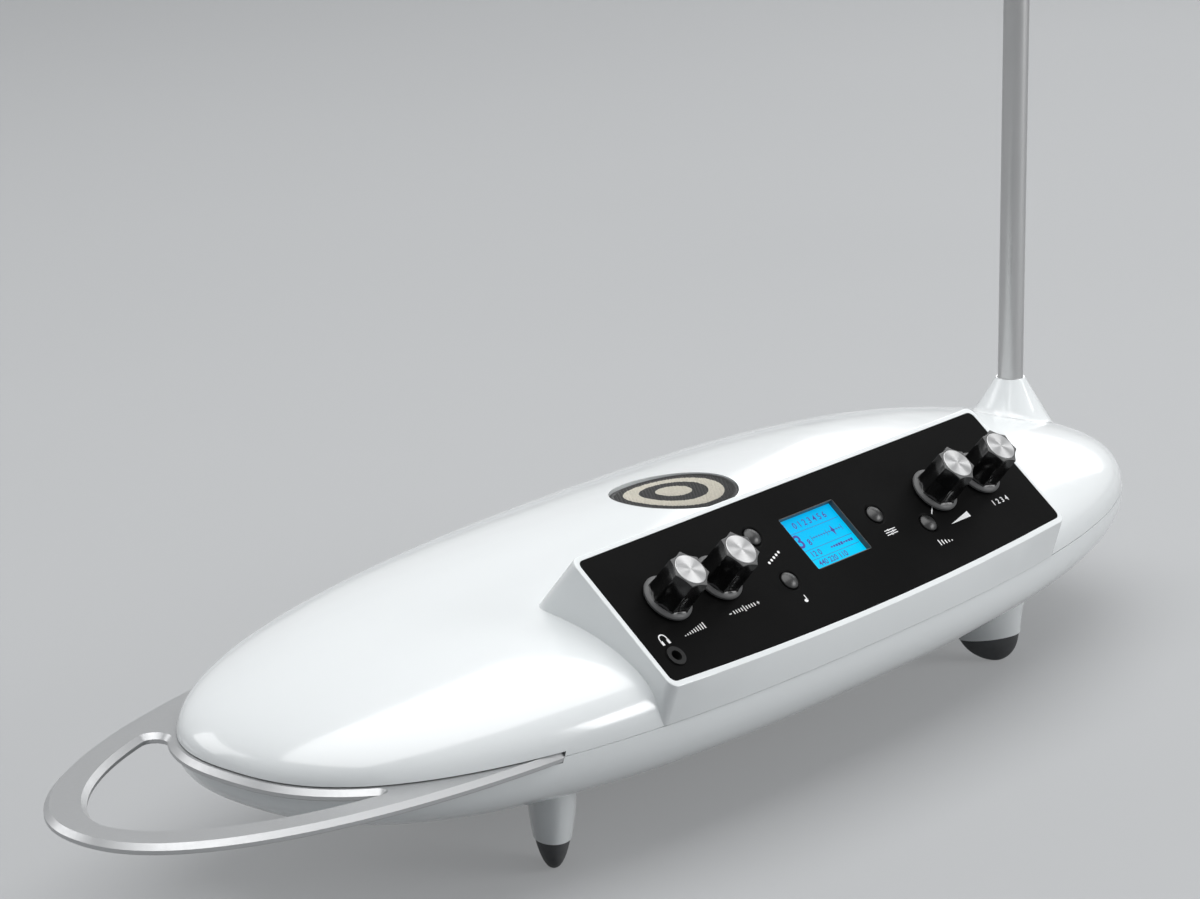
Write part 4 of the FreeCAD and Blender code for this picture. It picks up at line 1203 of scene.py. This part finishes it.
def panel_marks():
    """Signs of the controls from left to right, then the line from a button to its knob."""
    marks = headphone_sign(*sign_places["headphones"])
    marks += rising_bars(*sign_places["volume"], 9, mm(1.2), broad_line, mm(0.4), tall_sign)
    marks += scale_sign(*sign_places["pitch_bias"])
    marks += climbing_dots(*sign_places["scale_button"])
    marks += note_sign(*sign_places["root_button"])
    marks += sliders_sign(*sign_places["setup_button"])
    marks += rising_bars(*sign_places["delay_button"], 5, mm(-1.5), mm(0.5), mm(0.5), tall_sign)
    marks.append(wedge_sign(*sign_places["amount"]))
    marks.append(stroke((mm(48.6), mm(28.8)), (mm(52.6), mm(25.4)), mm(0.4)))
    return marks


printed("panel_signs", panel_marks(), **on_panel)


def lettered(name, text, u, v, size, bold, material, h, slot, spacing=1.0):
    """Numbers set in plain type, as a thin mesh on the panel's plane."""
    type_curve = bpy.data.curves.new(name, "FONT")
    type_curve.body = text
    type_curve.size = size
    type_curve.space_character = spacing
    type_curve.align_x = "CENTER"
    type_curve.align_y = "CENTER"
    type_curve.extrude = print_height / 2
    type_curve.offset = bold
    type_curve.resolution_u = 4
    mesh = plain_mesh(in_scene(name, type_curve))
    mesh.transform(panel_matrix(u, v, h + print_height / 2))
    link(name, mesh, slot, finish=material)


lettered(
    "preset_numbers", "1 2 3 4", *sign_places["preset"], mm(2.8), mm(0.07), spacing=1.1, **on_panel
)

# -------- display


def window_lining():
    """Thin sleeve inside the window, between the panel's face and the glass."""
    thickness = mm(0.3)
    outer = (window_length / 2, window_height / 2)
    inner = (outer[0] - thickness, outer[1] - thickness)
    points = []
    for half_x, half_y in (outer, inner):
        for level in (glass_h + mm(0.01), mm(-0.12)):
            for side_x, side_y in ((-1, -1), (1, -1), (1, 1), (-1, 1)):
                points.append((side_x * half_x, side_y * half_y, level))
    faces = []
    for k in range(4):
        beside = (k + 1) % 4
        faces.append((k, beside, 4 + beside, 4 + k))
        faces.append((8 + k, 12 + k, 12 + beside, 8 + beside))
        faces.append((k, 8 + k, 8 + beside, beside))
        faces.append((4 + k, 4 + beside, 12 + beside, 12 + k))
    mesh = mesh_of("window_lining", points, faces, panel_matrix(window_u, window_v))
    link("window_lining", mesh, "black_plastic", finish=lining)


window_lining()


def display_marks():
    """Rules, a centre-zero scale with its pointer, a stack of bars and a row of bars."""
    left = mm(-12.6)
    right = mm(12.2)
    scale_u = mm(2.4)
    scale_v = mm(20.2)
    tick_pitch = mm(1.3)
    pointer_u = mm(5.7)
    pointer_width = mm(0.6)
    pointer_reach = mm(2.1)
    marks = []
    for line_v in (mm(16.6), mm(23.6), mm(27.3)):
        marks.append(bar((left + right) / 2, line_v, right - left, mm(0.14)))
    marks.append(bar(scale_u, scale_v, 12 * tick_pitch, mm(0.16)))
    for k in range(-6, 7):
        height = mm(2.2) if k % 6 == 0 else mm(0.9)
        marks.append(bar(scale_u + k * tick_pitch, scale_v, mm(0.2), height))
    marks.append(spot(pointer_u, scale_v, pointer_width, pointer_reach / pointer_width, corners=4))
    for k in range(4):
        marks.append(bar(mm(-13.0), mm(12.6) + k * mm(1.05), mm(1.6) - k * mm(0.3), mm(0.7)))
    for k in range(9):
        marks.append(bar(mm(-0.2) + k * tick_pitch, mm(25.4), mm(0.95), mm(0.5) + mm(0.16) * (k % 5)))
    return marks


printed("display_signs", display_marks(), **on_glass)

# Numbers by piece: what they say, then u, v, height and boldness in millimetres
display_numbers = {
    "display_numbers_top": ("0 1 2 3 4 5 6", -0.4, 14.2, 3.3, 0.02),
    "display_number_large": ("3", -11.2, 20.0, 7.2, 0.1),
    "display_number_small": ("8", -7.4, 21.2, 3.2, 0.03),
    "display_numbers_left": ("12 0", -8.4, 25.5, 3.0, 0.02),
    "display_numbers_low": ("440 220 110", -3.2, 29.2, 2.9, 0.02),
}
for piece_name, (numerals, *millimetres) in display_numbers.items():
    lettered(piece_name, numerals, *map(mm, millimetres), **on_glass)

# -------- CAD nodes as they are

for node_name, node in frame["nodes"].items():
    if not node.hide_render:
        node.data.materials.clear()
        node.data.materials.append(finishes[slot_of[node_name]])

# -------- floor and light

floor_z = cad_bounds[0].z
floor_reach = 12.0
floor_lift = 0.2
floor_colour = (0.29, 0.295, 0.30, 1)
floor_patches = (0.28, 0.285, 0.29, 1)
lift_colour = (0.97, 0.985, 1.0, 1)

# The world as it is seen, and the soft light that it gives
seen_colour = (0.62, 0.63, 0.64, 1)
soft_colour = (0.92, 0.96, 1.0, 1)
soft_strength = 0.30

# Lamps: place and size in metres, power in watts
lamp_target = Vector((0, 0, mm(30)))
lamps = {
    "overhead_softbox": ((0.0, -0.05, 1.4), (1.9, 1.5), 21),
    "right_softbox": ((1.35, 0.5, 0.7), (0.9, 0.9), 4),
    "front_softbox": ((0.85, -1.25, 0.5), (0.9, 0.5), 9),
    "rear_softbox": ((-0.7, 1.4, 0.8), (0.9, 0.7), 4),
}


def seen_or_mirrored(tree):
    """1 for rays that come from the camera, straight, off a mirror or through glass."""
    path = add(tree, "ShaderNodeLightPath").outputs
    first = maths(tree, "MAXIMUM", path["Is Camera Ray"], path["Is Glossy Ray"])
    return maths(tree, "MAXIMUM", first, path["Is Transmission Ray"])


def make_floor():
    """Pale floor that is only seen from above, so the underside can be viewed."""
    finish = Finish("pale_floor", floor_colour, roughness=0.9, specular_ior_level=0.1)
    tree = finish.tree
    drift = spread(tree, noise(tree, place_on(tree), 2.0), 0.0, 1.0)
    finish.feed("Base Color", blend_colours(tree, drift, floor_colour, floor_patches))
    lift = maths(tree, "MULTIPLY", seen_or_mirrored(tree), floor_lift)
    glow = add(tree, "ShaderNodeEmission", {"Color": lift_colour, "Strength": lift}).outputs[0]
    lifted = add(tree, "ShaderNodeAddShader", {0: finish.shader.outputs[0], 1: glow}).outputs[0]
    clear = add(tree, "ShaderNodeBsdfTransparent").outputs[0]
    under = add(tree, "ShaderNodeNewGeometry").outputs["Backfacing"]
    mix = add(tree, "ShaderNodeMixShader", {0: under, 1: lifted, 2: clear})
    tree.links.new(mix.outputs[0], tree.nodes["Material Output"].inputs["Surface"])
    mesh = bpy.data.meshes.new("floor")
    sides = ((-1, -1), (1, -1), (1, 1), (-1, 1))
    mesh.from_pydata([(x * floor_reach, y * floor_reach, floor_z) for x, y in sides], [], [(0, 1, 2, 3)])
    mesh.materials.append(finish.material)
    floor = in_scene("floor", mesh)


def make_lamp(name, place, size, power):
    """Flat lamp that faces the middle of the body."""
    lamp = bpy.data.lights.new(name, "AREA")
    lamp.shape = "RECTANGLE"
    lamp.size, lamp.size_y = size
    lamp.energy = power
    holder = in_scene(name, lamp)
    holder.location = place
    holder.rotation_euler = (lamp_target - Vector(place)).to_track_quat("-Z", "Y").to_euler()


def make_world():
    world = bpy.data.worlds.new("studio")
    world.use_nodes = True
    tree = world.node_tree
    tree.nodes.clear()
    seen = seen_or_mirrored(tree)
    pale = add(tree, "ShaderNodeBackground", {"Color": seen_colour, "Strength": 1.0}).outputs[0]
    soft = add(tree, "ShaderNodeBackground", {"Color": soft_colour, "Strength": soft_strength}).outputs[0]
    mix = add(tree, "ShaderNodeMixShader", {0: seen, 1: soft, 2: pale}).outputs[0]
    add(tree, "ShaderNodeOutputWorld", {"Surface": mix})
    bpy.context.scene.world = world


make_floor()
make_world()
for lamp_name, lamp_settings in lamps.items():
    make_lamp(lamp_name, *lamp_settings)

bpy.context.scene.view_settings.view_transform = "Standard"
